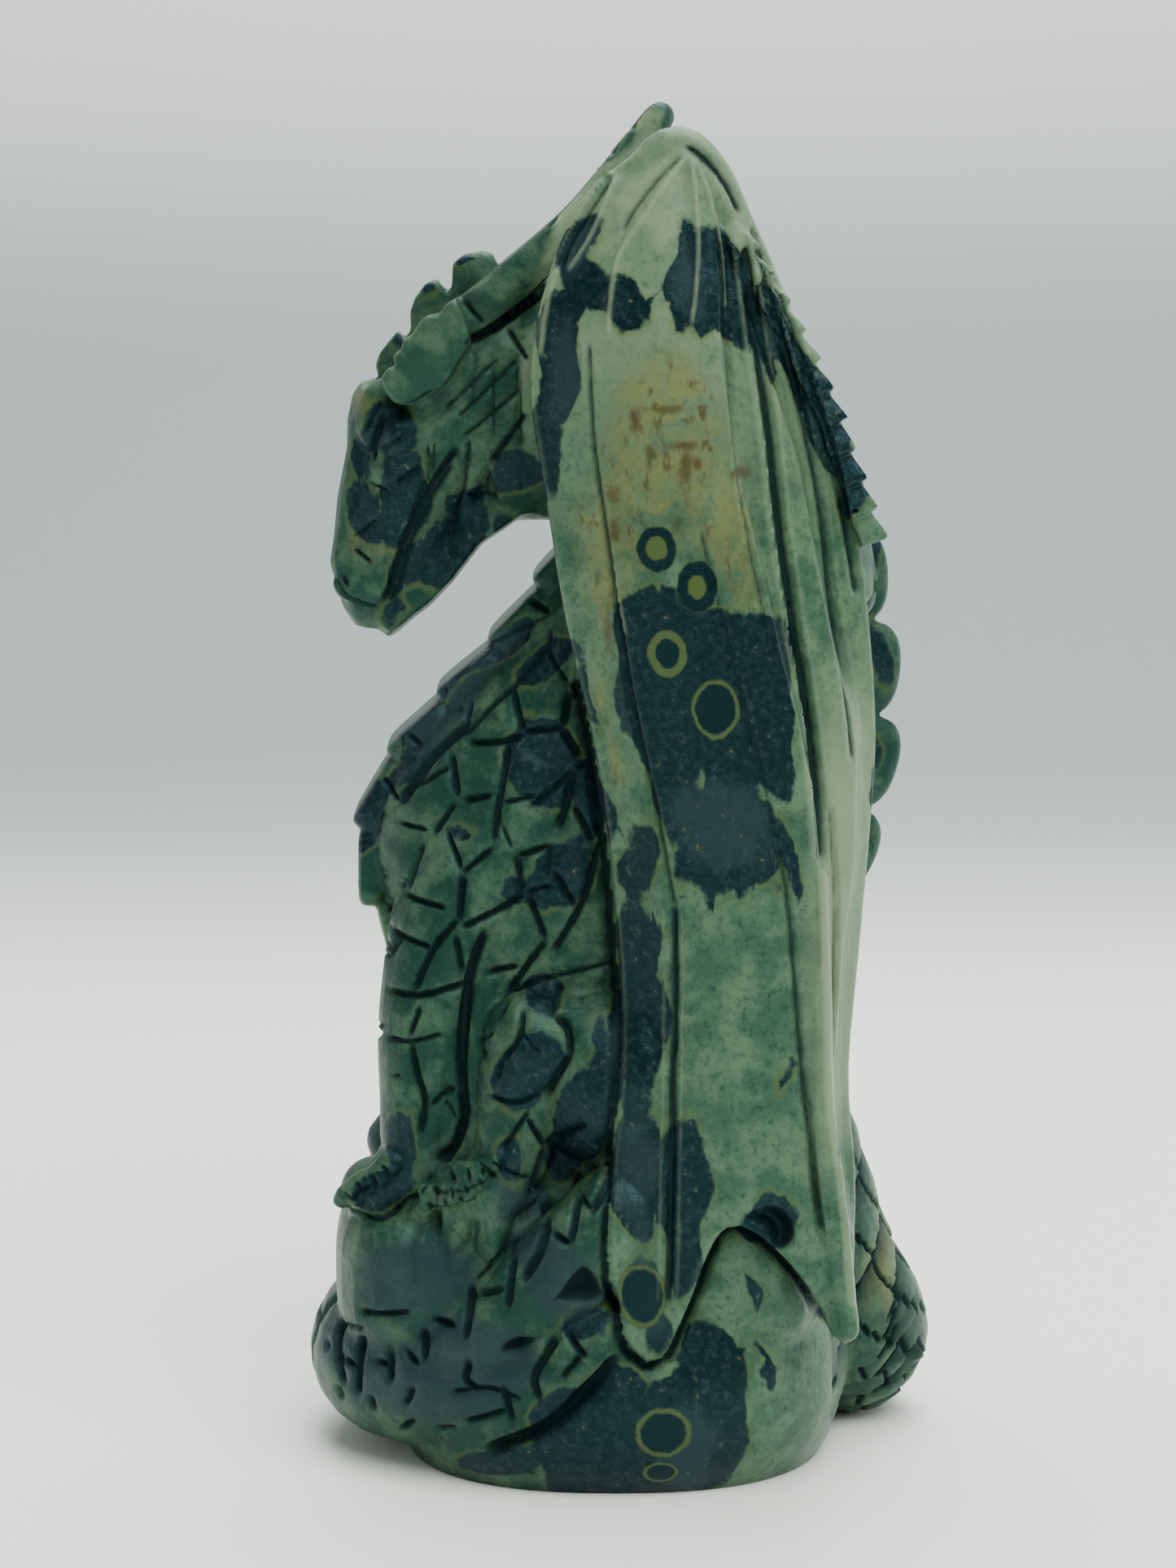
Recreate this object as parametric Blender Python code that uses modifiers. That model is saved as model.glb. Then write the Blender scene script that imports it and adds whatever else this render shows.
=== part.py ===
"""Winged dragon carving, cut with its rock base from one block of stone.

The dragon faces -X, its left side is -Y and +Z is up. The origin is the middle of the flat
underside. HEIGHT is the size of the carving from the underside to the tip of the horns, and
the pose is written in figure units, HEIGHT_UNITS of them to that height. What can be set by
itself, such as a wall, a groove or a plate, has its own value in metres.
"""

import math

import bmesh
import bpy
import numpy as np
from mathutils import Matrix, Vector

MM = 0.001

# Overall size
HEIGHT = 165 * MM
HEIGHT_UNITS = 165.0
UNIT = HEIGHT / HEIGHT_UNITS

# Walls, plates and cuts
WING_THICKNESS = 4.6 * MM
WING_EDGE_THICKNESS = 2.4 * MM
PLEAT_STEP = 1.9 * MM
WING_GROOVE_WIDTH = 1.6 * MM
WING_GROOVE_DEPTH = 1.1 * MM
LEG_GROOVE_WIDTH = 2.4 * MM
LEG_GROOVE_DEPTH = 1.8 * MM
TAIL_GROOVE_WIDTH = 3.4 * MM
TAIL_GROOVE_DEPTH = 2.0 * MM
MOUTH_WIDTH = 1.5 * MM
MOUTH_DEPTH = 1.0 * MM
BACK_PLATE_THICKNESS = 3.2 * MM
BELLY_PLATE_THICKNESS = 3.4 * MM
BELLY_PLATE_WIDTH = 14.0 * MM
ARM_SCALE_WIDTH = 6.6 * MM
ARM_SCALE_LENGTH = 3.5 * MM
ARM_SCALE_RISE = 0.9 * MM
CREST_THICKNESS = 4.4 * MM
FRILL_TEETH = 6
SCALE_SIZE = 7.0 * MM
SCALE_LINE_WIDTH = 1.5 * MM
SCALE_LINE_DEPTH = 0.75 * MM

# Surface
VOXEL = 0.75 * MM
SMOOTH_ROUNDS = 3
TRIANGLES = 9600
SEED = 7

# Body, as (height, front, back, half depth)
TORSO = [
    (22, -16, 22, 17),
    (34, -22, 24, 17.5),
    (44, -23.5, 25, 17.5),
    (54, -24, 26, 18),
    (64, -26.5, 28, 18),
    (72, -30.5, 29, 17.5),
    (78, -31, 30, 17),
    (85, -28.8, 30.5, 16),
    (92, -22.5, 30.5, 15),
    (100, -15, 30, 13.8),
    (108, -8.6, 29, 12.2),
    (114, -4.5, 27.5, 11),
]
# Rock under the figure, the same way
ROCK = [
    (-4, -24, 23, 22),
    (0, -27, 25, 25),
    (4, -29, 27, 27.3),
    (9, -30, 28.4, 28.3),
    (15, -31, 28.6, 28),
    (21, -32, 27.6, 26.2),
    (27, -32.5, 25.6, 24),
    (32, -33, 23.5, 21.5),
    (36, -24, 21, 18),
]
PEDESTAL_SIZE = (15.5, 21.5, 11)
PEDESTAL_PLACE = (-18.6, 0, 23.5)
# Neck and head, as (x, z, half height, half depth)
NECK = [
    (14, 98, 16, 11),
    (12.5, 114, 15.5, 10.5),
    (7, 126, 15.5, 10),
    (-2, 131.2, 15.6, 9.6),
    (-10, 130, 15.4, 9.4),
    (-18, 127.8, 13.4, 9.2),
]
HEAD = [
    (-9, 131, 11.5, 8.4),
    (-18, 129.5, 12.4, 9.3),
    (-24.6, 121, 9.6, 8),
    (-27.5, 112, 7.7, 6.2),
    (-30.2, 105.8, 5.4, 5),
    (-30.8, 102, 2.6, 3),
]
# Limbs of the left side, as (x, y, z, radius)
FORELEG = [
    (-10, -7.5, 86, 8.4),
    (-18.4, -9.6, 72, 8.6),
    (-23, -12, 57, 6.8),
    (-24.2, -12.2, 44, 5.6),
    (-25.2, -12.2, 38, 5.0),
    (-29, -12.6, 34.5, 3.8),
]
THIGH = [
    (16, -12, 43, 15),
    (6, -13.5, 49.5, 14.5),
    (-3.6, -15, 51, 12),
    (-10.4, -17.4, 54, 6.8),
]
SHIN = [
    (-11.5, -18, 55, 5.6),
    (-12.8, -18.4, 47, 5),
    (-13.6, -18.6, 40, 4.6),
    (-17, -19, 36, 4.2),
]
CALF = [
    (-17.4, -11, 68, 5),
    (-18, -13, 56, 5),
    (-18.6, -13.4, 44, 4.8),
    (-19.6, -13.6, 37, 4),
]
HORN = [
    (-20, -6, 138.5, 3.4),
    (-12.6, -6.6, 144.8, 2.9),
    (-5.4, -7, 151.4, 2.5),
    (0.4, -7, 158.6, 2.2),
    (4.1, -7, 163.5, 1.8),
]
WING_ARM = [
    (6.4, -18.6, 157.6, 3.4),
    (11, -18.4, 151.5, 3.6),
    (16.6, -17, 141.5, 3.8),
    (20.8, -15.5, 130, 3.9),
    (24, -13.6, 118, 4.2),
    (25.6, -11, 108, 4.8),
]
# Core of the body and the neck that the scales run round, as (x, y, z, radius)
BODY_CORE = [(6, 0, 20, 18), (2, 0, 60, 20), (8, 0, 100, 16), (6, 0, 126, 15), (-14, 0, 130, 12)]
WING_RIB = [
    (22.9, -27.2, 76, 0.6),
    (23, -27.9, 60, 1.1),
    (23.6, -28.2, 44, 1.4),
    (25, -28.5, 32, 1.5),
    (26.4, -28.8, 21.6, 1.5),
]
# Stone left between the body and the left wing, as (half size), (place)
FLANK_FILLS = [
    [(11, 7.5, 42), (13.5, -16.5, 76)],
    [(13, 11.5, 19), (12, -14.5, 33)],
]
WING_ARM_EDGE = [(x + radius, z) for x, y, z, radius in WING_ARM]
TAIL = [
    (14, 0, 48, 11.5),
    (18.6, 1, 35, 11.5),
    (23.6, 3, 22, 10.8),
    (29.4, 8, 10, 9.8),
    (21, 18, 8.5, 9),
    (4, 22, 8.5, 9),
    (-14, 20, 9.5, 9.4),
    (-26.5, 10, 11.5, 10),
    (-28.8, -4, 11.4, 10.1),
    (-21.5, -14, 11.8, 9.2),
    (-11, -20.6, 13.6, 7.6),
    (-3, -24.2, 18.4, 5),
    (0, -25, 21, 3),
]
TAIL_BAND = [
    (-24, -16, 13.5, 5),
    (-16, -20, 18, 6),
    (-8, -22, 26, 6.6),
    (0, -22.4, 34, 6.6),
]
# Toes of the left side, each from its knuckle to its claw, as (x, y, z, radius)
TOES = [
    [(-28, -7.2, 36.4, 2.5), (-32.6, -6.8, 34.8, 2.2), (-34.6, -6.6, 31.4, 1.7)],
    [(-28, -11.4, 36.6, 2.6), (-33, -11.8, 34.4, 2.3), (-34.8, -12.2, 30.8, 1.7)],
    [(-27, -15, 36, 2.5), (-31.2, -16.6, 33.8, 2.2), (-32.2, -17.8, 30.2, 1.7)],
    [(-16, -17.4, 38, 2.5), (-21.8, -17.8, 36.6, 2.3), (-24.6, -18.6, 31.5, 1.8), (-24.4, -18.8, 25, 1.4)],
    [(-14.6, -20, 38, 2.5), (-19, -21, 36, 2.3), (-20.4, -21.8, 30.5, 1.8), (-20, -21.6, 24.5, 1.4)],
    [(-12, -21, 37, 2.5), (-15, -22.6, 34.6, 2.2), (-16.2, -23, 29.5, 1.8), (-15.8, -22.6, 25, 1.4)],
]
# Ridge of the back from the nape to the tail, as (x, z), and the plates on it
SPINE = [
    (20.6, 132),
    (25.4, 121),
    (28.8, 110),
    (30.4, 98),
    (30, 86),
    (26.4, 72),
    (23, 60),
    (22.4, 48),
    (25.2, 38),
    (28.4, 29),
    (31, 20),
]
BACK_PLATES = 11
BACK_PLATE_LENGTH = 11.5
BACK_PLATE_RISE = 3.6
BACK_PLATE_LEAN = 0.16
CREST_TURN = -0.5
# Bumps of the crest behind the brow, as (x, z, half length, half rise)
CREST = [
    (-31, 129.4, 3, 3.4),
    (-27.2, 135.2, 2.8, 3.6),
    (-22.4, 140.6, 3.2, 4.2),
    (-16.6, 143.6, 4.2, 4),
    (-8, 147, 4.2, 3),
    (1.5, 147.6, 4.4, 3),
    (10.5, 144.6, 4.4, 3),
]
# Swellings of the left side of the face, as (name, half size, place, turn)
FACE = [
    ("brow", (3.2, 2.6, 4.6), (-29.2, -5.4, 128), 0.15),
    ("eye", (2.3, 1.8, 2.5), (-26.6, -7.4, 126), 0.3),
    ("nostril", (2.4, 1.8, 2.2), (-33, -3.4, 107.6), 0.0),
]
WRIST_SIZE = (6, 3.2, 4.4)
WRIST_PLACE = (5.2, -18.6, 156.6)
WRIST_TURN = 0.6
# Fin behind the cheek, as (x, z): its toothed edge, its lower edge, and the middle that its teeth point from
FRILL_EDGE = [(-29.4, 131.4), (-28.2, 134), (-25.6, 137.8), (-22.6, 140.2), (-18.6, 141.6)]
FRILL_FOOT = [(-14, 137), (-18, 132.6), (-22.3, 130.8), (-25.6, 129.8), (-28.4, 130)]
FRILL_ROOT = np.array((-21.5, 134.0))
FRILL_REACH = 10.4
FRILL_TOOTH = 0.8
# Front of the chest from the throat to the belly, as (x, z)
CHEST = [
    (-7.5, 110.6),
    (-14, 101.8),
    (-20.8, 94.4),
    (-27.2, 87),
    (-31, 79.5),
    (-31.2, 71.5),
    (-28, 63.5),
    (-25.4, 55.5),
]
BELLY_PLATES = 8
BELLY_PLATE_LENGTH = 9.8
BELLY_PLATE_LEAN = 0.2
# Wing lines seen from its own side, as (x, z), from the wrist down
WING_LEADING = [
    (2.8, 160.5), (-5.1, 154.1), (-9.8, 142.5), (-11.2, 132.3), (-9.6, 121), (-7.0, 105),
    (-3.2, 87.7), (-1.1, 70), (-0.4, 55), (-1.7, 36.5), (-1.2, 26), (2.6, 17.2),
]
WING_CUTS = [
    [(-4.4, 139), (-3.8, 122), (-1.2, 106), (1.8, 92), (4.6, 77), (5.2, 60), (4.6, 42), (4.6, 28), (4, 21)],
    [(5.6, 158.3), (1.4, 154.6), (-0.7, 150.3), (-1.8, 142.6)],
    [(7.5, 158), (8, 152), (8.4, 145), (8.2, 138)],
    [(18.4, 78), (19.3, 64.5), (20.8, 52), (21.4, 42), (22, 28.6)],
]
LINE_B = [
    (9, 158.2), (10.9, 146), (11.2, 135.9), (13.6, 121), (17, 107.4), (20.6, 92),
    (22.9, 79), (23, 59.3), (23.6, 44), (25.4, 32), (27.3, 20.4),
]
LINE_A = [
    (9.6, 159), (13.2, 149), (16.2, 135.7), (20.2, 124), (23.8, 105.6), (27.2, 92),
    (27.2, 76.2), (25.9, 65.8), (25, 50.6), (25.8, 40), (27.6, 20.4),
]
WING_REAR = [
    (10.6, 159.2), (15.5, 149), (20, 139), (24.4, 125), (28, 108), (29.8, 94),
    (29.4, 80), (27.8, 64), (26.6, 51), (27.4, 40), (28.4, 20.4),
]
WING_FOOT = [
    (2.6, 17.2), (5, 18.2), (6.8, 25), (9, 31), (12, 34.2), (16, 33), (21.5, 27),
    (24.4, 21), (26.2, 19.6), (27.8, 20.8),
]
WING_BACK_EDGE = [
    (27.2, 28), (27.6, 38), (27.2, 44), (27, 52), (28.2, 64), (29.6, 80), (30.2, 92),
    (29, 106), (27, 116), (23.6, 128), (18.6, 141), (14, 151), (10.6, 158.6), (7.4, 161.7),
]
WING_TOP = [(7.4, 161.7), (5, 161.6)]
# Outer face of the wing at heights, as (height, depth at the front edge, at the middle, at the back)
WING_DEPTH = [
    (15, 28.6, 30.2, 27.5),
    (34, 26.4, 29.6, 26.4),
    (60, 22.6, 28.8, 24),
    (90, 20.4, 28, 22),
    (120, 18.6, 26.6, 20),
    (142, 18, 24.6, 19.4),
    (156, 18, 21.6, 19),
    (164, 18, 19.6, 18),
]
# Cuts seen from the side, as (x, z), on the side that faces out
LEG_CUT = [(-16.8, 67), (-18.6, 60), (-19.8, 53), (-19.8, 46), (-21.4, 40)]
MOUTH_CUT = [(-19.6, 124), (-23.2, 118.6), (-25.6, 112.4), (-27.4, 107.4), (-29.6, 103.4)]
TAIL_CUT = [(-1, 19.6), (-6, 14.4), (-11.6, 9.6), (-17.6, 7)]
# Least distance between two folds of the wing, and how near the middle its face comes
FOLD_SPACING = 1.8
WING_INSIDE = 17.5

SIDES = (1, -1)


def smooth_path(points, count, place=3):
    """The points' own curve (Catmull-Rom), read at even steps of the length of its first columns."""
    given = np.array(points, float)
    padded = np.vstack([2 * given[0] - given[1], given, 2 * given[-1] - given[-2]])
    fine = []
    for i in range(len(given) - 1):
        a, b, c, d = padded[i : i + 4]
        for t in np.linspace(0, 1, 12, endpoint=False):
            fine.append(
                0.5 * (2 * b + (c - a) * t + (2 * a - 5 * b + 4 * c - d) * t**2
                       + (3 * b - a - 3 * c + d) * t**3)
            )
    fine.append(given[-1])
    fine = np.array(fine)
    run = np.r_[0, np.cumsum(np.linalg.norm(np.diff(fine[:, :place], axis=0), axis=1))]
    even = np.linspace(0, run[-1], count)
    return np.array([np.interp(even, run, column) for column in fine.T]).T


def new_mesh(name, verts, faces):
    mesh = bpy.data.meshes.new(name)
    mesh.from_pydata([tuple(v) for v in verts], [], [tuple(int(i) for i in f) for f in faces])
    mesh.update()
    return mesh


def loft(name, rings):
    """A closed mesh through rings of equal point counts, with a flat cap at each end."""
    rings = np.array(rings)
    count, around = rings.shape[:2]
    faces = []
    for i in range(count - 1):
        for j in range(around):
            k = (j + 1) % around
            faces.append((i * around + j, i * around + k, (i + 1) * around + k, (i + 1) * around + j))
    faces.append(tuple(range(around))[::-1])
    faces.append(tuple((count - 1) * around + j for j in range(around)))
    return outward(new_mesh(name, rings.reshape(-1, 3) * UNIT, faces))


def outward(mesh):
    """The mesh with its caps welded on and every face turned out."""
    work = bmesh.new()
    work.from_mesh(mesh)
    bmesh.ops.remove_doubles(work, verts=work.verts, dist=1e-6)
    bmesh.ops.recalc_face_normals(work, faces=work.faces)
    work.to_mesh(mesh)
    work.free()
    return mesh


def column(name, rows, steps=26, around=36, squareness=2.4):
    """An upright body through flat sections."""
    angle = np.linspace(0, 2 * math.pi, around, endpoint=False)
    round_x = np.sign(np.cos(angle)) * np.abs(np.cos(angle)) ** (2 / squareness)
    round_y = np.sign(np.sin(angle)) * np.abs(np.sin(angle)) ** (2 / squareness)
    rings = []
    for z, front, back, depth in smooth_path(rows, steps, place=1):
        middle = (front + back) / 2
        reach = (back - front) / 2
        rings.append(np.column_stack([middle + reach * round_x, depth * round_y, np.full(around, z)]))
    return loft(name, rings)


def midline_loft(name, rows, steps=22, around=28):
    """A body that bends in the plane between the left and right sides."""
    path = smooth_path([(x, 0, z, height, depth) for x, z, height, depth in rows], steps)
    run = np.gradient(path[:, [0, 2]], axis=0)
    run /= np.linalg.norm(run, axis=1)[:, None]
    angle = np.linspace(0, 2 * math.pi, around, endpoint=False)
    rings = []
    for (x, _, z, height, depth), (dx, dz) in zip(path, run):
        up = np.outer(np.cos(angle) * height, (-dz, 0, dx))
        out = np.outer(np.sin(angle) * depth, (0, 1, 0))
        rings.append(np.array([x, 0, z]) + up + out)
    return loft(name, rings)


def limb(name, rows, side=1, steps=20, sides=3):
    """A round limb along a curve, with a rounded end."""
    path = smooth_path(rows, steps)
    end = path[-1, :3] - path[-2, :3]
    end /= np.linalg.norm(end)
    rounding = [(0.5, 0.86), (0.8, 0.6), (0.97, 0.24)]
    tip = [np.r_[path[-1, :3] + end * path[-1, 3] * far, path[-1, 3] * share] for far, share in rounding]
    path = np.vstack([path, tip])
    curve = bpy.data.curves.new(name, "CURVE")
    curve.dimensions = "3D"
    curve.bevel_depth = UNIT
    curve.bevel_resolution = sides
    curve.use_fill_caps = True
    line = curve.splines.new("POLY")
    line.points.add(len(path) - 1)
    for point, (x, y, z, radius) in zip(line.points, path):
        point.co = (x * UNIT, y * side * UNIT, z * UNIT, 1)
        point.radius = radius
    holder = bpy.data.objects.new(name, curve)
    mesh = bpy.data.meshes.new_from_object(holder)
    bpy.data.objects.remove(holder)
    bpy.data.curves.remove(curve)
    return outward(mesh)


def rounded_block(name, size, place, turn=0.0, side=1, power=2.0):
    """A ball or, with a higher power, a soft-edged block of half this size, tipped about Y."""
    work = bmesh.new()
    bmesh.ops.create_uvsphere(work, u_segments=16, v_segments=10, radius=1)
    for vert in work.verts:
        length = sum(abs(c) ** power for c in vert.co) ** (1 / power)
        vert.co = vert.co / length
    shape = Matrix.Translation(Vector(place)) @ Matrix.Rotation(turn, 4, "Y") @ Matrix.Diagonal((*size, 1))
    work.transform(Matrix.Scale(UNIT, 4) @ shape)
    if side < 0:
        work.transform(Matrix.Diagonal((1, -1, 1, 1)))
        bmesh.ops.reverse_faces(work, faces=work.faces)
    mesh = bpy.data.meshes.new(name)
    work.to_mesh(mesh)
    work.free()
    return mesh


def line_at(line, heights):
    """The x of a wing line at these heights."""
    path = smooth_path(line, 80)
    order = np.argsort(path[:, 1])
    return np.interp(heights, path[order, 1], path[order, 0])


def wing_face(x, z, front, back):
    """How far out the wing's outer face lies, in figure units."""
    heights, at_front, at_middle, at_back = np.array(WING_DEPTH).T
    share = np.clip((x - front) / np.maximum(back - front, 1), 0, 1)
    low = np.interp(z, heights, at_front)
    high = np.interp(z, heights, at_middle)
    rear = np.interp(z, heights, at_back)
    rise = np.sin(math.pi * np.clip(share / 1.1, 0, 1)) ** 0.8
    return low * (1 - share) + rear * share + (high - (low + rear) / 2) * rise


def wing_slab(side):
    """The wing's pleated wall, wider than its outline, which then trims it."""
    heights = np.linspace(13, 164, 76)
    front = line_at(WING_LEADING, heights)
    fold_b = line_at(LINE_B, heights)
    fold_a = line_at(LINE_A, heights)
    rear = line_at(WING_REAR, heights)
    step = PLEAT_STEP / UNIT
    outer = []
    for z, x0, xb, xa, x1 in zip(heights, front, fold_b, fold_a, rear):
        xa = max(xa, xb + FOLD_SPACING)
        x1 = max(x1, xa + FOLD_SPACING)
        fade = np.clip((z - 14) / 25, 0, 1) * np.clip((161 - z) / 14, 0.15, 1)
        across = np.r_[
            np.linspace(x0 - 3, xb - 0.3, 12), xb + 0.3, np.linspace(xb + 0.9, xa - 0.3, 3), xa + 0.3,
            np.linspace(xa + 0.9, x1 + 2, 4),
        ]
        drop = np.r_[np.zeros(12), [step * fade] * 4, [2 * step * fade] * 5]
        depth = wing_face(across, z, x0, x1) - drop
        outer.append(np.column_stack([across, -depth, np.full(len(across), z)]))
    outer = np.array(outer)
    edge = np.clip((outer[:, :, 0] - front[:, None]) / 7, 0, 1)
    wall = (WING_EDGE_THICKNESS + (WING_THICKNESS - WING_EDGE_THICKNESS) * edge) / UNIT
    inner = outer.copy()
    inner[:, :, 1] += wall
    rings = np.concatenate([outer, inner[:, ::-1]], axis=1)
    rings[:, :, 1] *= side
    return loft("wing slab", rings)


def outline_prism(name, outline):
    """A tall prism over a side-view outline."""
    reach = 2 * max(row[2] for row in WING_DEPTH)
    return loft(name, [[(x, y, z) for x, z in outline] for y in (-reach, reach)])


def wing_outline():
    """The wing's edge seen from its side, all the way round."""
    leading = smooth_path(WING_LEADING, 40)
    foot = smooth_path(WING_FOOT, 24)
    back = smooth_path(WING_BACK_EDGE, 36)
    return [tuple(p) for p in np.vstack([leading[:-1], foot, back[:-1], WING_TOP])]


def trimmed(mesh, cutter, operation):
    """The mesh after an exact Boolean with the cutter."""
    body = bpy.data.objects.new(mesh.name, mesh)
    tool = bpy.data.objects.new(cutter.name, cutter)
    for thing in (body, tool):
        bpy.context.scene.collection.objects.link(thing)
    cut = body.modifiers.new("trim", "BOOLEAN")
    cut.operation = operation
    cut.solver = "EXACT"
    cut.object = tool
    graph = bpy.context.evaluated_depsgraph_get()
    result = bpy.data.meshes.new_from_object(body.evaluated_get(graph))
    bpy.data.objects.remove(body)
    bpy.data.objects.remove(tool)
    return result


def wings():
    pieces = []
    for side in SIDES:
        prism = outline_prism("wing outline", wing_outline())
        pieces.append(trimmed(wing_slab(side), prism, "INTERSECT"))
        pieces.append(limb("wing arm", WING_ARM, side))
        pieces.append(rounded_block("wrist", WRIST_SIZE, WRIST_PLACE, turn=WRIST_TURN, side=side))
        pieces.append(limb("wing rib", WING_RIB, side))
        for size, place in FLANK_FILLS:
            pieces.append(rounded_block("flank", size, place, side=side, power=3))
        pieces += arm_blocks(side)
    return pieces


def arm_blocks(side):
    """The square-edged scales that stand along the wing arm."""
    blocks = []
    path = smooth_path(WING_ARM, 11)
    run = np.gradient(path[:, [0, 2]], axis=0)
    for (x, y, z, radius), (dx, dz) in list(zip(path, run))[3:]:
        size = (radius + ARM_SCALE_RISE / UNIT, ARM_SCALE_WIDTH / UNIT / 2, ARM_SCALE_LENGTH / UNIT / 2)
        turn = -math.atan2(dx, -dz)
        blocks.append(rounded_block("arm scale", size, (x + 0.6, y, z), turn=turn, side=side, power=5))
    return blocks


def back_plates():
    """Rounded plates that stand on the ridge and lean towards the tail."""
    plates = []
    path = smooth_path(SPINE, BACK_PLATES)
    run = np.gradient(path, axis=0)
    size = (BACK_PLATE_RISE, BACK_PLATE_THICKNESS / UNIT / 2, BACK_PLATE_LENGTH / 2)
    for (x, z), (dx, dz) in zip(path, run):
        turn = math.atan2(dx, dz) + math.pi + BACK_PLATE_LEAN
        plates.append(rounded_block("back plate", size, (x, 0, z), turn=turn, power=2.4))
    return plates


def belly_plates():
    """Overlapping plates down the front of the chest."""
    plates = []
    path = smooth_path(CHEST, BELLY_PLATES)
    run = np.gradient(path, axis=0)
    size = (BELLY_PLATE_THICKNESS / UNIT / 2, BELLY_PLATE_WIDTH / UNIT / 2, BELLY_PLATE_LENGTH / 2)
    for (x, z), (dx, dz) in zip(path, run):
        turn = math.atan2(dx, dz) + math.pi + BELLY_PLATE_LEAN
        plates.append(rounded_block("belly plate", size, (x, 0, z), turn=turn, power=4))
    return plates


def frill(side):
    """The fin behind the cheek, with teeth along its upper edge."""
    edge = smooth_path(FRILL_EDGE, FRILL_TEETH * 4 + 1)
    outline = []
    for i, (x, z) in enumerate(edge):
        away = np.array((x, z)) - FRILL_ROOT
        away /= np.linalg.norm(away)
        outline.append(np.array((x, z)) + FRILL_TOOTH * (1 - (i % 4) / 4) * away)
    outline += [np.array(p, float) for p in FRILL_FOOT]
    rings = []
    for depth, share in ((5.5, 1.0), (FRILL_REACH - 1, 1.0), (FRILL_REACH, 0.88)):
        rings.append([(*(FRILL_ROOT + (p - FRILL_ROOT) * share), -depth * side) for p in outline])
    rings = np.array(rings)[:, :, [0, 2, 1]]
    return loft("frill", rings)


def head():
    pieces = [midline_loft("neck", NECK), midline_loft("head", HEAD)]
    for x, z, length, rise in CREST:
        size = (length, CREST_THICKNESS / UNIT / 2, rise)
        pieces.append(rounded_block("crest", size, (x, 0, z), turn=CREST_TURN, power=3))
    for side in SIDES:
        pieces.append(frill(side))
        pieces.append(limb("horn", HORN, side))
        for name, size, place, turn in FACE:
            pieces.append(rounded_block(name, size, place, turn=turn, side=side))
    return pieces


def body():
    pieces = [
        column("torso", TORSO, squareness=2.9),
        column("rock", ROCK),
        rounded_block("pedestal", PEDESTAL_SIZE, PEDESTAL_PLACE, power=3.6),
        limb("tail", TAIL, steps=64, sides=5),
        limb("tail band", TAIL_BAND, sides=5),
    ]
    for side in SIDES:
        for name, rows in (("foreleg", FORELEG), ("thigh", THIGH), ("shin", SHIN), ("calf", CALF)):
            pieces.append(limb(name, rows, side, sides=5))
        for toe in TOES:
            pieces.append(limb("toe", toe, side, steps=8))
    return pieces


def joined(pieces, name):
    """One object that holds every shape as its own shell."""
    work = bmesh.new()
    for mesh in pieces:
        work.from_mesh(mesh)
    whole = bpy.data.meshes.new(name)
    work.to_mesh(whole)
    work.free()
    return bpy.data.objects.new(name, whole)


def polyline_distance(points, line):
    """Distance in the side view from each point to a line."""
    path = smooth_path(line, 24)
    best = np.full(len(points), 1e9)
    for a, b in zip(path[:-1], path[1:]):
        run = b - a
        share = np.clip(((points - a) @ run) / (run @ run), 0, 1)
        best = np.minimum(best, np.linalg.norm(points - a - share[:, None] * run, axis=1))
    return best


def cut_profile(distance, width, depth):
    """Depth in metres of a V-shaped cut, at this distance in figure units from its middle."""
    return depth * np.clip(1 - distance * UNIT / (width / 2), 0, 1)


def scale_lines(places):
    """Distance from each place on an unrolled skin to the nearest line between two scales."""
    random = np.random.default_rng(SEED)
    jitter = random.uniform(-0.36, 0.36, (64, 64, 2))
    grid = places / (SCALE_SIZE / UNIT)
    home = np.floor(grid).astype(int)
    near = []
    for i in (-1, 0, 1):
        for j in (-1, 0, 1):
            cell = home + (i, j)
            seed = cell + 0.5 + jitter[cell[:, 0] % 64, cell[:, 1] % 64]
            near.append(seed - grid)
    near = np.array(near)
    gap = np.linalg.norm(near, axis=2)
    first = np.argmin(gap, axis=0)
    rows = np.arange(len(places))
    own = near[first, rows]
    best = np.full(len(places), 1e9)
    for k in range(9):
        other = near[k]
        between = other - own
        length = np.linalg.norm(between, axis=1)
        edge = ((own + other) / 2 * between).sum(1) / np.maximum(length, 1e-9)
        best = np.where(length > 1e-6, np.minimum(best, np.abs(edge)), best)
    return best * (SCALE_SIZE / UNIT)


def nearest_on(path, points):
    """Index of the nearest path point to each point, and the distance to it."""
    gap = np.linalg.norm(points[:, None, :] - path[None, :, :3], axis=2)
    index = gap.argmin(1)
    return index, gap[np.arange(len(points)), index]


def skin(points):
    """The place of each point on the skin of the body or the tail, unrolled flat."""
    routes = [smooth_path(BODY_CORE, 60), smooth_path(TAIL, 120)]
    place = np.zeros((len(points), 2))
    closest = np.full(len(points), 1e9)
    for number, route in enumerate(routes):
        run = np.gradient(route[:, :3], axis=0)
        length = np.r_[0, np.cumsum(np.linalg.norm(np.diff(route[:, :3], axis=0), axis=1))]
        index, gap = nearest_on(route, points)
        excess = gap - route[index, 3]
        away = points - route[index, :3]
        tangent = run[index] / np.linalg.norm(run[index], axis=1)[:, None]
        across = np.cross(tangent, (0.0, 1.0, 0.0) if number == 0 else (0.0, 0.0, 1.0))
        across /= np.maximum(np.linalg.norm(across, axis=1), 1e-9)[:, None]
        other = np.cross(tangent, across)
        angle = np.arctan2((away * across).sum(1), (away * other).sum(1))
        along = length[index] + (away * tangent).sum(1)
        flat = np.column_stack([along + 200 * number, angle * route[index, 3]])
        nearer = excess < closest
        place[nearer] = flat[nearer]
        closest = np.minimum(closest, excess)
    return place


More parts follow.
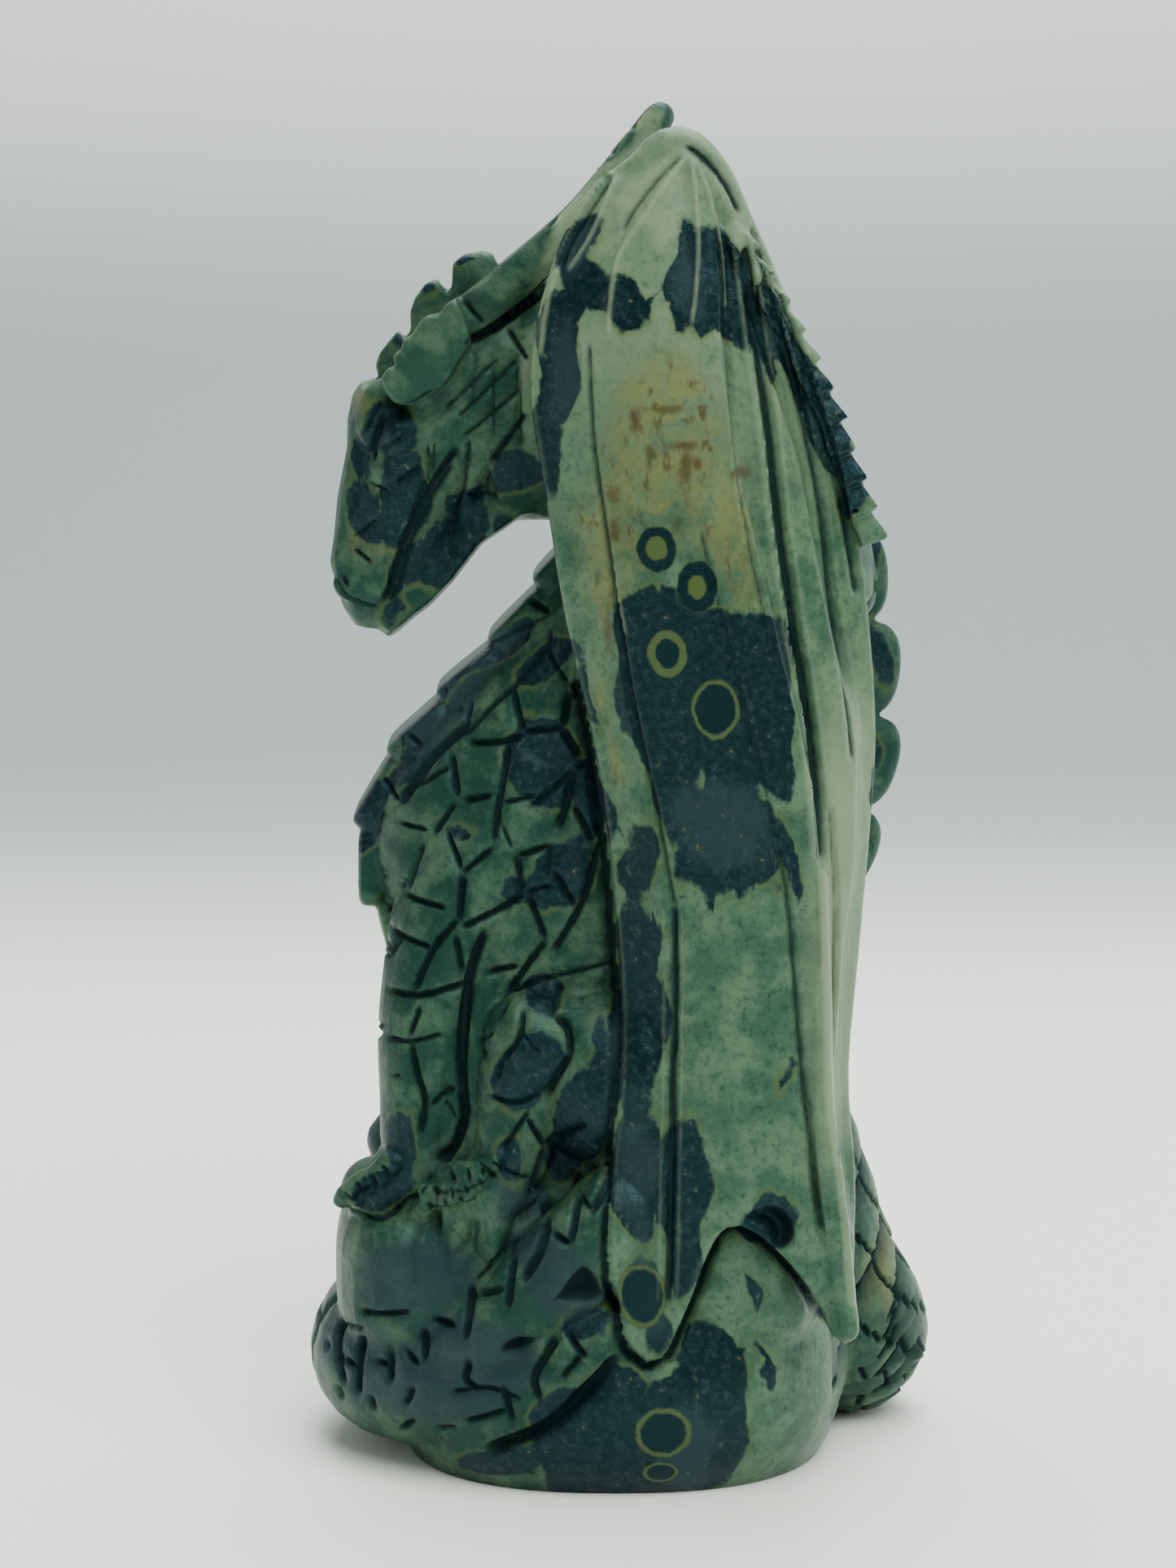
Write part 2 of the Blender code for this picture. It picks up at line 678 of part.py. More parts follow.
def scaly(points):
    """1 where the stone is carved with scales, 0 where it is polished or finely worked."""
    x, y, z = points.T
    depth = np.abs(y)
    front = line_at(WING_LEADING, z)
    back = np.maximum(line_at(WING_REAR, z), line_at(WING_ARM_EDGE, z))
    face = wing_face(x, z, front, back)
    wall = WING_THICKNESS / UNIT + 2 * PLEAT_STEP / UNIT + 1
    on_wing = (z > 16) & (x > front - 1.5) & (x < back + 2.5) & (depth > face - wall)
    on_tail = np.zeros(len(points), bool)
    for rows in (TAIL, TAIL_BAND):
        path = smooth_path(rows, 120)
        index, gap = nearest_on(path, points)
        on_tail |= gap < path[index, 3] + 1.5
    on_rock = (z < 34) & ~on_tail
    on_head = (x < -16) & (z > 100)
    on_belly = (depth < 7.4) & (x < line_at(CHEST, z) + 2.5) & (z > 62)
    ridge = (depth < 2.5) & (x > 24)
    return (~(on_wing | on_rock | on_head | on_belly | ridge)).astype(float)


def cuts(points, normals):
    """How deep each point of the surface lies under the uncut stone."""
    side_view = points[:, [0, 2]]
    outside = np.abs(points[:, 1])
    faces_out = points[:, 1] * normals[:, 1] > 0
    facing = np.clip(np.abs(normals[:, 1]) * 1.6 - 0.2, 0, 1) * faces_out
    depth = cut_profile(scale_lines(skin(points)), SCALE_LINE_WIDTH, SCALE_LINE_DEPTH) * scaly(points)
    for line in WING_CUTS:
        cut = cut_profile(polyline_distance(side_view, line), WING_GROOVE_WIDTH, WING_GROOVE_DEPTH)
        depth = np.maximum(depth, cut * facing * (outside > WING_INSIDE))
    for line, width, deep, clear in (
        (LEG_CUT, LEG_GROOVE_WIDTH, LEG_GROOVE_DEPTH, 5),
        (MOUTH_CUT, MOUTH_WIDTH, MOUTH_DEPTH, 1.5),
    ):
        cut = cut_profile(polyline_distance(side_view, line), width, deep)
        depth = np.maximum(depth, cut * (outside > clear))
    under_tail = cut_profile(polyline_distance(side_view, TAIL_CUT), TAIL_GROOVE_WIDTH, TAIL_GROOVE_DEPTH)
    return np.maximum(depth, under_tail * facing * (points[:, 1] < 0))


def carved(mesh):
    """Moves the surface in along its normals where grooves and lines between scales run."""
    count = len(mesh.vertices)
    points = np.empty(count * 3)
    normals = np.empty(count * 3)
    mesh.vertices.foreach_get("co", points)
    mesh.vertices.foreach_get("normal", normals)
    points = points.reshape(-1, 3) / UNIT
    normals = normals.reshape(-1, 3)
    moved = points * UNIT - normals * cuts(points, normals)[:, None]
    mesh.vertices.foreach_set("co", moved.ravel())
    mesh.update()
    return mesh


def stone():
    material = bpy.data.materials.new("jasper")
    material.use_nodes = True
    shader = material.node_tree.nodes["Principled BSDF"]
    shader.inputs["Base Color"].default_value = (0.13, 0.2, 0.12, 1)
    shader.inputs["Roughness"].default_value = 0.3
    return material


def floor_cutter(collection):
    """A block below the underside, which it cuts flat."""
    reach = 2 * HEIGHT
    work = bmesh.new()
    bmesh.ops.create_cube(work, size=1)
    work.transform(Matrix.Translation((0, 0, -reach / 2)) @ Matrix.Diagonal((reach, reach, reach, 1)))
    mesh = bpy.data.meshes.new("floor cutter")
    work.to_mesh(mesh)
    work.free()
    cutter = bpy.data.objects.new("floor_cutter", mesh)
    collection.objects.link(cutter)
    cutter.display_type = "WIRE"
    cutter.hide_render = True
    return cutter


def one_body(obj):
    """Fuses the shells of the object into one skin and evens it."""
    fuse = obj.modifiers.new("fuse", "REMESH")
    fuse.mode = "VOXEL"
    fuse.voxel_size = VOXEL
    soften = obj.modifiers.new("soften", "SMOOTH")
    soften.factor = 0.5
    soften.iterations = SMOOTH_ROUNDS
    graph = bpy.context.evaluated_depsgraph_get()
    return bpy.data.meshes.new_from_object(obj.evaluated_get(graph))


def main():
    for thing in list(bpy.data.objects):
        bpy.data.objects.remove(thing)
    kept = bpy.data.collections.new("jasper winged dragon carving")
    cutters = bpy.data.collections.new("cutters")
    for collection in (kept, cutters):
        bpy.context.scene.collection.children.link(collection)
    cutters.hide_render = True

    shells = joined(body() + head() + back_plates() + belly_plates() + wings(), "shells")
    bpy.context.scene.collection.objects.link(shells)
    whole = carved(one_body(shells))
    bpy.data.objects.remove(shells)

    dragon = bpy.data.objects.new("dragon", whole)
    kept.objects.link(dragon)
    whole.materials.clear()
    whole.materials.append(stone())
    whole.calc_loop_triangles()
    thin = dragon.modifiers.new("thin out", "DECIMATE")
    thin.ratio = TRIANGLES / len(whole.loop_triangles)
    flat = dragon.modifiers.new("flat underside", "BOOLEAN")
    flat.operation = "DIFFERENCE"
    flat.solver = "EXACT"
    flat.object = floor_cutter(cutters)


if __name__ == "__main__":
    main()
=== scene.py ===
"""Winged dragon carving in green jasper: the dressed stone, its stage, lights and camera.

The dragon faces -X, its left side is -Y and +Z is up, with the origin in the middle of the flat
underside. Sizes are in figure units, which are millimetres at the carving's own size. What was
picked on the photograph stays in its pixels, and is laid on a plane through the carving.
"""

import math

import bmesh
import bpy
import numpy as np
from mathutils import Matrix, Vector
from mathutils.bvhtree import BVHTree


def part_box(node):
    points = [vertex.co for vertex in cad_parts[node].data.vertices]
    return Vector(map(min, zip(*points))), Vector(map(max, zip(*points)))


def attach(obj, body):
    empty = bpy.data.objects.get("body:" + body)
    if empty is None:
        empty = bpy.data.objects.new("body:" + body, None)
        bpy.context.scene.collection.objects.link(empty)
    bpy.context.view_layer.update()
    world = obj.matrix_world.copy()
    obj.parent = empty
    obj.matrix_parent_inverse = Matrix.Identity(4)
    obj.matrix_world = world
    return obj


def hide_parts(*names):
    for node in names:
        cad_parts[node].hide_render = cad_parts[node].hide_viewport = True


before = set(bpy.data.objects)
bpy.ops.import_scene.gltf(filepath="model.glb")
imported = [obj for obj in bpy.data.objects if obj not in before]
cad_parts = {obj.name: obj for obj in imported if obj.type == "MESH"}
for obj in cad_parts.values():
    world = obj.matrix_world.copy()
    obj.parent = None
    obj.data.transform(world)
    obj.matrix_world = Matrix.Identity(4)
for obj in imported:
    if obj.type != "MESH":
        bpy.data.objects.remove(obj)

bl_info = {
    "name": "Winged dragon carving",
    "version": (1, 0, 0),
    "blender": (4, 5, 0),
    "location": "3D View > Sidebar > Carving",
    "description": "Builds a jasper dragon on its rock, with a studio stage",
    "category": "Add Mesh",
}

UNIT = 0.001
SIDES = (1, -1)

# The camera of the photograph, and its picture in pixels
CAMERA_PLACE = (-4.40158, -500, 160.96527)
CAMERA_TILT = 0.1557027
PICTURE_SIZE = (1445, 1927)
FOCAL_PIXELS = 5055
SENSOR = 36.0

# Floor and wall, in metres: half width, front edge, start of the sweep, its radius and the wall's top
FLOOR_REACH = 2.4
FLOOR_FRONT = -1.6
SWEEP_START = 0.35
SWEEP_RADIUS = 0.5
SWEEP_STEPS = 12
WALL_TOP = 2.2
FLOOR_SHADE = (0.3, 0.355, 0.36, 1.0)
SKY_COLOUR = (0.8, 0.86, 0.84, 1.0)
SKY_STRENGTH = 0.4
LIGHT_AIM = (0, 0, 0.08)

# Wing walls, pleats and shingles
WING_THICKNESS = 4.6
WING_EDGE_THICKNESS = 2.4
PLEAT_STEP = 2.4
FOLD_SPACING = 1.8
SHINGLES = 11
SHINGLE_SIZE = (1.7, 2.6, 2.0)
SHINGLE_DEPTH = 19.4
SHINGLE_DRIFT = 0.06
SHINGLE_DRIFT_TOP = 150

# Plates of the back, the belly and the crest
BACK_PLATES = 11
BACK_PLATE_SIZE = (3.6, 1.6, 5.75)
BACK_PLATE_LEAN = 0.16
BACK_PLATE_DROP = 2
BACK_PLATE_POWER = 2.4
BELLY_PLATES = 8
BELLY_PLATE_SIZE = (1.7, 7.0, 4.9)
BELLY_PLATE_LEAN = 0.13
BELLY_PLATE_SHIFT = 0.5
BELLY_PLATE_POWER = 6
CREST_THICKNESS = 4.4
CREST_TURN = -0.5
CREST_POWER = 3
BEAD_POWER = 2.6
BEAD_RISE = 0.3

# The disc's cuts, the hollows and the undercut below the wing
CUT_WIDENING = 1.15
TAIL_CUT_WIDENING = 1.3
FOLD_SHARE = 0.13
BEAD_CUT_STEP = 2.0
BEAD_CUT_REACH = 0.8
BEAD_CUT_WIDTH = 0.7
HOLLOW_DEPTH = 2.2
HOLLOW_SLOPE = 1.6
UNDERCUT_DEPTH = 1.3
UNDERCUT_REACH = 1.5
UNDERCUT_START = 0.3
WING_LINE_SHARE = 0.62
WING_LINE_LIP = 0.3
RIDGE_SHARE = -0.5
RIM_RISE = -0.2
TAIL_SCALE = 6.8
TAIL_SCALE_TILT = 0.6
TAIL_LINE_REACH = 0.5
TAIL_LINE_DEPTH = 0.9

# Where one way of working the stone gives way to the next
WING_BOTTOM = 16
FLANK_BOTTOM = 36
TAIL_TOP = 46
TAIL_FRONT_END = 14
REAR_START = 24
REAR_TAIL_START = 25.5
REAR_TAIL_DEPTH = 24
LEG_TOP = 60
LEG_DEPTH = 6.0
PAW_DEPTH = 4.0
FOOT_TOP = 32
HEAD_BOTTOM = 98
HEAD_BACK = 8
SPINE_START = 22
SPINE_DEPTH = 4
CHEST_HEIGHTS = (70, 112)
UNDERCUT_HEIGHTS = (14, 118)
UNDERCUT_INNER = 13.5
UNDERCUT_BACK = 27
RIM_BACK = 12
RIM_INSET = 0.5
RIM_WIDTH = 0.7

# How satin the carved parts are next to the polished wings and rock
HEAD_SATIN = 0.95
LEG_SATIN = 0.8
FOOT_SATIN = 0.95
TAIL_SATIN = 0.6

# How softly neighbouring blotches run together
BLEND = 1.2

# Rock and body, as (height, front, back, half depth)
TORSO = [
    (22, -16, 22, 17), (34, -22, 24, 17.5), (44, -23.5, 25, 17.5), (54, -24, 26, 18),
    (64, -26.5, 28, 18), (72, -30.5, 29, 17.5), (78, -31, 30, 17), (85, -28.8, 30.5, 16),
    (92, -22.5, 30.5, 15), (100, -15, 30, 13.8), (108, -8.6, 29, 12.2), (114, -4.5, 27.5, 11),
]
ROCK = [
    (-4, -24, 23, 22), (0, -27, 25, 25), (4, -29, 27, 27.3), (9, -30, 28.4, 28.3), (15, -31, 28.6, 28),
    (21, -32, 27.6, 26.2), (27, -32.5, 25.6, 24), (32, -33, 23.5, 21.5), (36, -24, 21, 18),
]
TORSO_SQUARENESS = 2.9
PEDESTAL_SIZE = (16.6, 21.5, 11)
PEDESTAL_PLACE = (-19.1, 0, 23.5)
PEDESTAL_POWER = 3.6
TAIL_CORNER_SIZE = (4, 7, 4)
TAIL_CORNER_PLACE = (34, 8, 10.8)
TAIL_CORNER_TURN = -0.35
TAIL_CORNER_POWER = 7
# Neck and head, as (x, z, half height, half depth)
NECK = [
    (14, 98, 16, 11), (12.5, 114, 15.5, 10.5), (7, 126, 15.5, 10), (-2, 131.2, 15.6, 9.6),
    (-10, 130, 15.4, 9.4), (-18, 127.8, 13.4, 9.2),
]
HEAD = [
    (-9, 131, 11, 8.4), (-18, 129.5, 11, 9.3), (-24.6, 121, 9, 8), (-27.5, 112, 7.3, 6.2),
    (-30.2, 105.8, 5, 5), (-30.8, 102, 2.2, 3),
]
# Limbs of the left side, as (x, y, z, radius)
FORELEG = [
    (-10, -7.5, 86, 8.4), (-18.4, -9.6, 72, 8.6), (-23, -12, 57, 6.8), (-24.2, -12.2, 44, 5.6),
    (-25.2, -12.2, 38, 5.0), (-29, -12.6, 34.5, 3.8),
]
THIGH = [
    (16, -12, 43, 15), (6, -13.5, 49.5, 14.5), (-3.6, -15, 51, 12), (-10.4, -17.4, 54, 6.8),
]
SHIN = [
    (-11.5, -18, 55, 5.6), (-12.8, -18.4, 47, 5), (-13.6, -18.6, 40, 4.6), (-17, -19, 36, 4.2),
]
CALF = [
    (-17.4, -11, 68, 5), (-18, -13, 56, 5), (-18.6, -13.4, 44, 4.8), (-19.6, -13.6, 37, 4),
]
HORN = [
    (-20, -6, 138.5, 2.9), (-12.6, -6.6, 144.8, 2.525), (-5.4, -7, 151.4, 2.25),
    (0.4, -7, 158.6, 2.075), (4.1, -7, 163.5, 1.8),
]
WING_ARM = [
    (0.8, -18.4, 157.2, 1.3), (3.8, -18.8, 160.2, 1.6), (7, -19, 160.4, 1.9), (10.1, -18.8, 156.6, 2.3),
    (12.5, -18, 150.6, 2.6), (15.3, -17.2, 143.5, 3.0), (19.8, -15.6, 130, 3.6), (24, -13.6, 118, 4.2),
    (25.6, -11, 108, 4.8),
]
WING_ARM_EDGE = [(x + radius, z) for x, y, z, radius in WING_ARM]
WING_RIB = [
    (22.9, -27.2, 76, 0.6), (23, -27.9, 60, 1.1), (23.6, -28.2, 44, 1.4), (25, -28.5, 32, 1.5),
    (26.4, -28.8, 21.6, 1.5),
]
# Core of the body and the neck that the scales run round, and the tail
BODY_CORE = [(6, 0, 20, 18), (2, 0, 60, 20), (8, 0, 100, 16), (6, 0, 126, 15), (-14, 0, 130, 12)]
TAIL = [
    (14, 0, 48, 11.5), (18.6, 1, 35, 11.5), (23.6, 3, 22, 10.8), (29.4, 8, 10, 9.8), (21, 18, 8.5, 9),
    (4, 22, 8.5, 9), (-14, 20, 9.5, 9.4), (-26.5, 10, 11.5, 10), (-28.8, -4, 11.4, 10.1),
    (-21.5, -14, 11.8, 9.2), (-11, -20.6, 13.6, 7.6), (-3, -24.2, 18.4, 5), (0, -25, 21, 3),
]
TAIL_BAND = [
    (-24, -16, 13.5, 5), (-16, -20, 18, 6), (-8, -22, 26, 6.6), (0, -22.4, 34, 6.6),
]
# Stone left between the body and the left wing, as (half size, place)
FLANK_FILLS = [((11, 7.5, 42), (13.5, -16.5, 76)), ((13, 11.5, 19), (12, -14.5, 33))]
FLANK_POWER = 3
# Paws and hind toes of the left side, and how far back those of the right side sit
PAW_SIZE = (4.5, 5.4, 4.1)
PAW_PLACE = (-30.2, -11, 34.0)
HIND_TOES = [
    [(-16, -17.4, 38, 2.5), (-21.8, -17.8, 36.6, 2.3), (-24.6, -18.6, 31.5, 1.8)],
    [(-14.6, -20, 38, 2.5), (-19, -21, 36, 2.3), (-20.4, -21.8, 30.5, 1.8)],
    [(-12, -21, 37, 2.5), (-15, -22.6, 34.6, 2.2), (-16.2, -23, 29.5, 1.8)],
]
FAR_PAW = 8.0
TOE_SHIFT = (0, 1.4, 0, 0)
FAR_TOE_SHIFT = (FAR_PAW, 1.4, -1.5, 0)
# Ridge of the back from the nape to the tail, as (x, z)
SPINE = [
    (20.6, 132), (25.4, 121), (28.8, 110), (30.4, 98), (30, 86), (26.4, 72), (23, 60), (22.4, 48),
    (25.2, 38), (28.4, 29), (31, 20),
]
# Bumps of the crest above the nape, as (x, z, half length, half rise)
CREST = [(-8, 147, 4.2, 3), (1.5, 147.6, 4.4, 3), (10.5, 144.6, 4.4, 3)]
# Swellings of the left side of the face, as (name, half size, place, turn)
FACE = [
    ("brow", (3.2, 2.6, 4.6), (-29.2, -5.4, 128), 0.15),
    ("eye", (2.3, 1.8, 2.5), (-26.6, -7.4, 126), 0.3),
    ("nostril", (2.4, 1.8, 2.2), (-33, -3.4, 107.6), 0.0),
]
# Plates cut to a side-view outline, as (depth, share of their size about a root)
FRILL_REACH = 11.2
FRILL_ROOT = (-21.5, 134.0)
FRILL_SECTIONS = ((5.5, 1), (FRILL_REACH - 0.6, 1), (FRILL_REACH, 0.93))
CREST_SECTIONS = ((-2.6, 0.97), (-1.9, 1), (1.9, 1), (2.6, 0.97))
MUZZLE_SECTIONS = ((-4.6, 0.94), (-2.6, 1), (2.6, 1), (4.6, 0.94))
MUZZLE_ROOT = (-24, 118)
# Front of the chest from the throat to the belly, as (x, z)
CHEST = [
    (-7.5, 110.6), (-14, 101.8), (-20.8, 94.4), (-27.2, 87), (-31, 79.5), (-31.2, 71.5), (-28, 63.5),
    (-25.4, 55.5),
]
# Wing lines seen from its own side, as (x, z), from the wrist down
WING_LEADING = [
    (2.8, 160.5), (-5.1, 154.1), (-9.8, 142.5), (-11.2, 132.3), (-9.6, 121), (-7.0, 105), (-3.2, 87.7),
    (-1.1, 70), (-0.4, 55), (-1.7, 36.5), (-1.2, 26), (2.6, 17.2),
]
LINE_B = [
    (9, 158.2), (10.9, 146), (11.2, 135.9), (13.6, 121), (17, 107.4), (20.6, 92), (22.9, 79),
    (23, 59.3), (23.6, 44), (25.4, 32), (27.3, 20.4),
]
LINE_A = [
    (9.6, 159), (13.2, 149), (16.2, 135.7), (20.2, 124), (23.8, 105.6), (27.2, 92), (27.2, 76.2),
    (25.9, 65.8), (25, 50.6), (25.8, 40), (27.6, 20.4),
]
WING_REAR = [
    (10.6, 159.2), (15.5, 149), (20, 139), (24.4, 125), (28, 108), (29.8, 94), (29.4, 80), (27.8, 64),
    (26.6, 51), (27.4, 40), (28.4, 20.4),
]
WING_TOP = [(7.4, 161.7), (5, 161.6)]
WING_FOOT = [
    (-0.6, 23.4), (0.2, 20.2), (1.5, 18.1), (3, 17.2), (4.6, 18.1), (5.7, 20.4), (7.8, 25.4),
    (9.6, 30.4), (12, 34.2), (16, 33), (21.5, 27), (24.4, 21), (26.2, 19.6), (27.8, 20.8),
]
WING_BACK_EDGE = [
    (27.2, 28), (27.6, 38), (27.1, 44), (26.7, 52), (27.7, 64), (29, 80), (29.6, 92), (28.6, 106),
    (26.9, 116), (23.6, 128), (18.6, 141), (14, 151), (10.6, 158.6), (7.4, 161.7),
]
# Outer face of the wing, as (height, depth at the front edge, at the middle, at the back)
WING_DEPTH = [
    (15, 28.6, 30.2, 27.5), (34, 26.4, 29.6, 26.4), (60, 22.6, 28.8, 24), (90, 20.4, 28, 22),
    (120, 18.6, 26.6, 20), (142, 18, 24.6, 19.4), (156, 18, 21.6, 19), (164, 18, 19.6, 18),
]


def on_plane(across, down, depth):
    """The (x, z) that a picture point has on the upright plane at this depth."""
    right = (across - PICTURE_SIZE[0] / 2) / FOCAL_PIXELS
    up = (PICTURE_SIZE[1] / 2 - down) / FOCAL_PIXELS
    ahead = math.cos(CAMERA_TILT) + up * math.sin(CAMERA_TILT)
    rise = up * math.cos(CAMERA_TILT) - math.sin(CAMERA_TILT)
    reach = (depth - CAMERA_PLACE[1]) / ahead
    return CAMERA_PLACE[0] + reach * right, CAMERA_PLACE[2] + reach * rise


def traced(depth, points):
    """A line as (x, z), to a tenth of a unit, from picture points written as across,down."""
    places = [on_plane(*map(float, point.split(",")), depth) for point in points.split()]
    return [(round(x, 1), round(z, 1)) for x, z in places]


def traced_cuts(depth, rows):
    """Cuts as (width, line), from rows of a width in tenths of a unit and the picture points."""
    cuts = []
    for row in rows.split(";"):
        width, points = row.strip().split(" ", 1)
        cuts.append((int(width) / 10, traced(depth, points)))
    return cuts


def traced_spots(depth, reach, rows):
    """Ellipsoids as (middle, half size, turn, the rest of the row).

    A row has a picture point, the reach across and down in pixels and degrees clockwise.
    """
    spots = []
    for row in rows.split(";"):
        across, down, wide, high, turn, *rest = map(float, row.split())
        x, z = on_plane(across, down, depth)
        right = on_plane(across + wide, down, depth)[0]
        top = on_plane(across, down - high, depth)[1]
        middle = (round(x, 1), depth, round(z, 1))
        half = (round(right - x, 1), reach, round(top - z, 1))
        spots.append((middle, half, round(math.radians(turn), 2), *rest))
    return spots


# Lines cut with the disc, seen from the left
NECK_CUTS = traced_cuts(-9.6, """
    5 582,430 581,497; 5 606,453 607,540; 5 638,440 641,547; 8 623,403 648,443; 6 612,440 545,503;
    6 637,440 562,513; 6 637,480 570,537; 8 647,507 603,570; 11 575,422 612,400 663,362;
    7 566,366 580,384 595,398; 5 533,543 532,583; 6 577,543 572,597 563,640 552,695; 5 600,577 600,613;
    5 573,613 610,610; 10 562,553 533,593 510,640 490,680 480,720 467,747;
    8 556,572 530,613 513,650 500,680 490,723 478,748;
    6 523,547 527,580 513,617 503,643 492,677 483,710; 8 470,487 485,497 503,498 533,480
""")
FACE_CUTS = traced_cuts(-8, """
    9 455,567 462,535 472,508; 6 473,553 500,530; 6 482,595 515,572; 5 450,595 477,605;
    5 432,663 460,640; 7 432,678 453,695; 5 407,712 423,737 445,746 462,750; 9 417,709 424,724;
    6 448,528 458,508 468,490
""")
CHEST_CUTS = traced_cuts(-9, """
    11 643,735 672,753; 5 597,780 595,807; 8 543,842 546,858; 8 498,903 515,918; 8 468,957 488,983;
    8 436,1042 452,1036; 14 573,887 530,927 490,985; 5 672,755 633,779 598,800 556,838;
    8 672,790 640,830 600,868 573,898
""")
FLANK_CUTS = traced_cuts(-16.5, """
    7 675,780 673,803 678,817 697,843; 9 627,850 642,903; 8 575,870 568,907; 10 573,918 613,915 642,907;
    9 642,903 690,897; 11 690,897 700,853; 11 690,897 713,933; 10 623,917 613,983 607,1033;
    9 707,947 732,933; 9 653,993 707,947; 8 617,987 660,978; 11 703,947 697,987 685,1017;
    9 703,990 730,1033; 9 730,1027 745,1007; 10 552,933 560,983; 8 510,973 550,947; 10 567,987 603,977;
    8 530,1030 557,990; 9 547,1023 567,1067; 9 567,1072 607,1040; 7 617,1013 630,1043;
    9 637,1053 677,1037; 8 677,1037 670,1077; 9 637,1053 640,1097; 11 568,1073 565,1130;
    10 568,1137 617,1117 643,1097; 10 650,1100 670,1153; 9 680,1070 707,1113;
    10 737,1033 717,1103 680,1167; 7 643,1097 677,1087; 10 670,1155 637,1200 610,1242;
    10 563,1127 533,1163 508,1213; 9 473,1147 530,1162; 10 560,1147 570,1193; 7 517,1043 500,1093;
    9 493,1103 547,1113; 8 492,1097 473,1140; 8 493,1153 472,1182; 8 485,1020 523,1025;
    9 602,1195 637,1186; 10 478,1219 513,1220 557,1210 575,1205; 9 517,1233 502,1270;
    8 477,1275 503,1277 543,1267; 10 505,1280 513,1320 523,1350 517,1392; 8 530,1357 558,1333;
    6 547,1350 560,1373; 7 588,1277 605,1257; 7 480,1323 492,1320
""")
LEG_CUTS = traced_cuts(-17.5, """
    14 597,1147 583,1187 573,1240 567,1290 567,1330 570,1370 560,1403 543,1427;
    9 643,1230 637,1263 617,1293; 8 690,1207 683,1233; 11 685,1238 698,1253 701,1283;
    11 701,1280 670,1333; 6 637,1253 665,1283; 9 617,1290 610,1317; 8 600,1337 637,1343 667,1333;
    8 653,1353 618,1397; 9 650,1363 673,1400; 10 673,1397 717,1367; 11 670,1403 653,1460;
    6 587,1410 610,1433; 7 603,1410 633,1430 653,1437; 7 625,1222 650,1208 703,1195 760,1180;
    10 750,1417 727,1463; 7 707,1442 727,1463; 9 425,1480 443,1467 457,1460;
    7 420,1495 460,1500 500,1480 530,1440; 5 534,1460 556,1452 580,1445 604,1434;
    5 522,1483 544,1475 566,1467 590,1456
""")
FOLD_CUTS = traced_cuts(-20, """
    24 520,1500 506,1540 512,1590; 22 556,1492 548,1530 556,1570; 20 590,1480 598,1510 590,1545
""")
TAIL_CUTS = traced_cuts(-21, """
    9 710,1457 700,1510; 9 677,1500 700,1510; 11 672,1480 663,1520 643,1557; 6 637,1517 583,1570;
    10 630,1530 623,1590; 9 587,1583 617,1570; 10 580,1577 570,1635; 9 533,1623 557,1623;
    16 757,1650 717,1693 673,1733 603,1770; 10 683,1627 657,1670 663,1700; 9 620,1687 630,1730;
    8 573,1737 623,1717; 9 697,1620 720,1647; 8 713,1643 690,1673; 9 577,1663 573,1683 590,1693;
    9 443,1643 415,1655 410,1675 412,1697 417,1720; 10 443,1657 437,1690 435,1727; 9 417,1690 433,1695;
    10 478,1667 477,1700; 9 457,1682 477,1682; 10 522,1637 520,1667; 9 497,1663 513,1675;
    8 507,1703 497,1727; 8 453,1727 457,1743; 9 508,1747 490,1768; 7 410,1727 415,1743;
    7 395,1680 393,1690; 7 537,1752 560,1747; 8 440,1620 470,1618 503,1613; 7 555,1700 600,1690 640,1700
""")
WING_LINES = traced_cuts(-27, """
    9 722,425 728,540 745,664 774,855 806,999 828,1114; 13 828,1114 828,1241 823,1465 820,1600;
    9 835,195 810,220 780,258 765,285; 8 861,654 871,696 890,773 905,831 932,931 955,1035;
    10 955,1035 969,1117 982,1271 999,1442 1008,1510; 13 843,180 862,190 892,222 914,264;
    8 893,390 905,560 925,690 948,790;
    15 918,300 932,420 948,540 958,640 975,760 990,855 1006,980 1012,1060;
    11 932,300 955,390 980,480 1000,560 1015,640 1028,757 1044,860 1052,940;
    11 928,280 956,350 984,430 1006,500 1026,560 1044,640 1060,740; 9 688,330 700,300 722,262 748,222;
    8 1022,1000 1028,1120 1026,1300 1030,1420
""")
WING_RIDGES = traced_cuts(-24, """
    10 755,211 722,250 701,291 686,330 672,380 664,440; 9 759,215 745,250 730,285 715,310 698,335;
    10 843,195 820,225 793,265 770,300 757,330 750,380 748,410;
    9 850,192 856,240 858,300 855,360 850,400; 8 855,195 872,240 885,300 890,380;
    8 726,500 737,600 752,690 770,780; 14 1008,1060 1013,1200 1016,1340 1031,1459 1042,1590;
    10 928,420 940,540 950,640 968,760 984,855 1000,980
""")
HOLLOWS = [
    traced(-22, "677,1583 717,1537 742,1583"),
    traced(-22, "612,1652 622,1636 640,1628 663,1633 640,1650"),
    traced(-27.5, "912,1492 930,1480 955,1478 975,1495 978,1520 960,1535 948,1528 940,1508"),
]
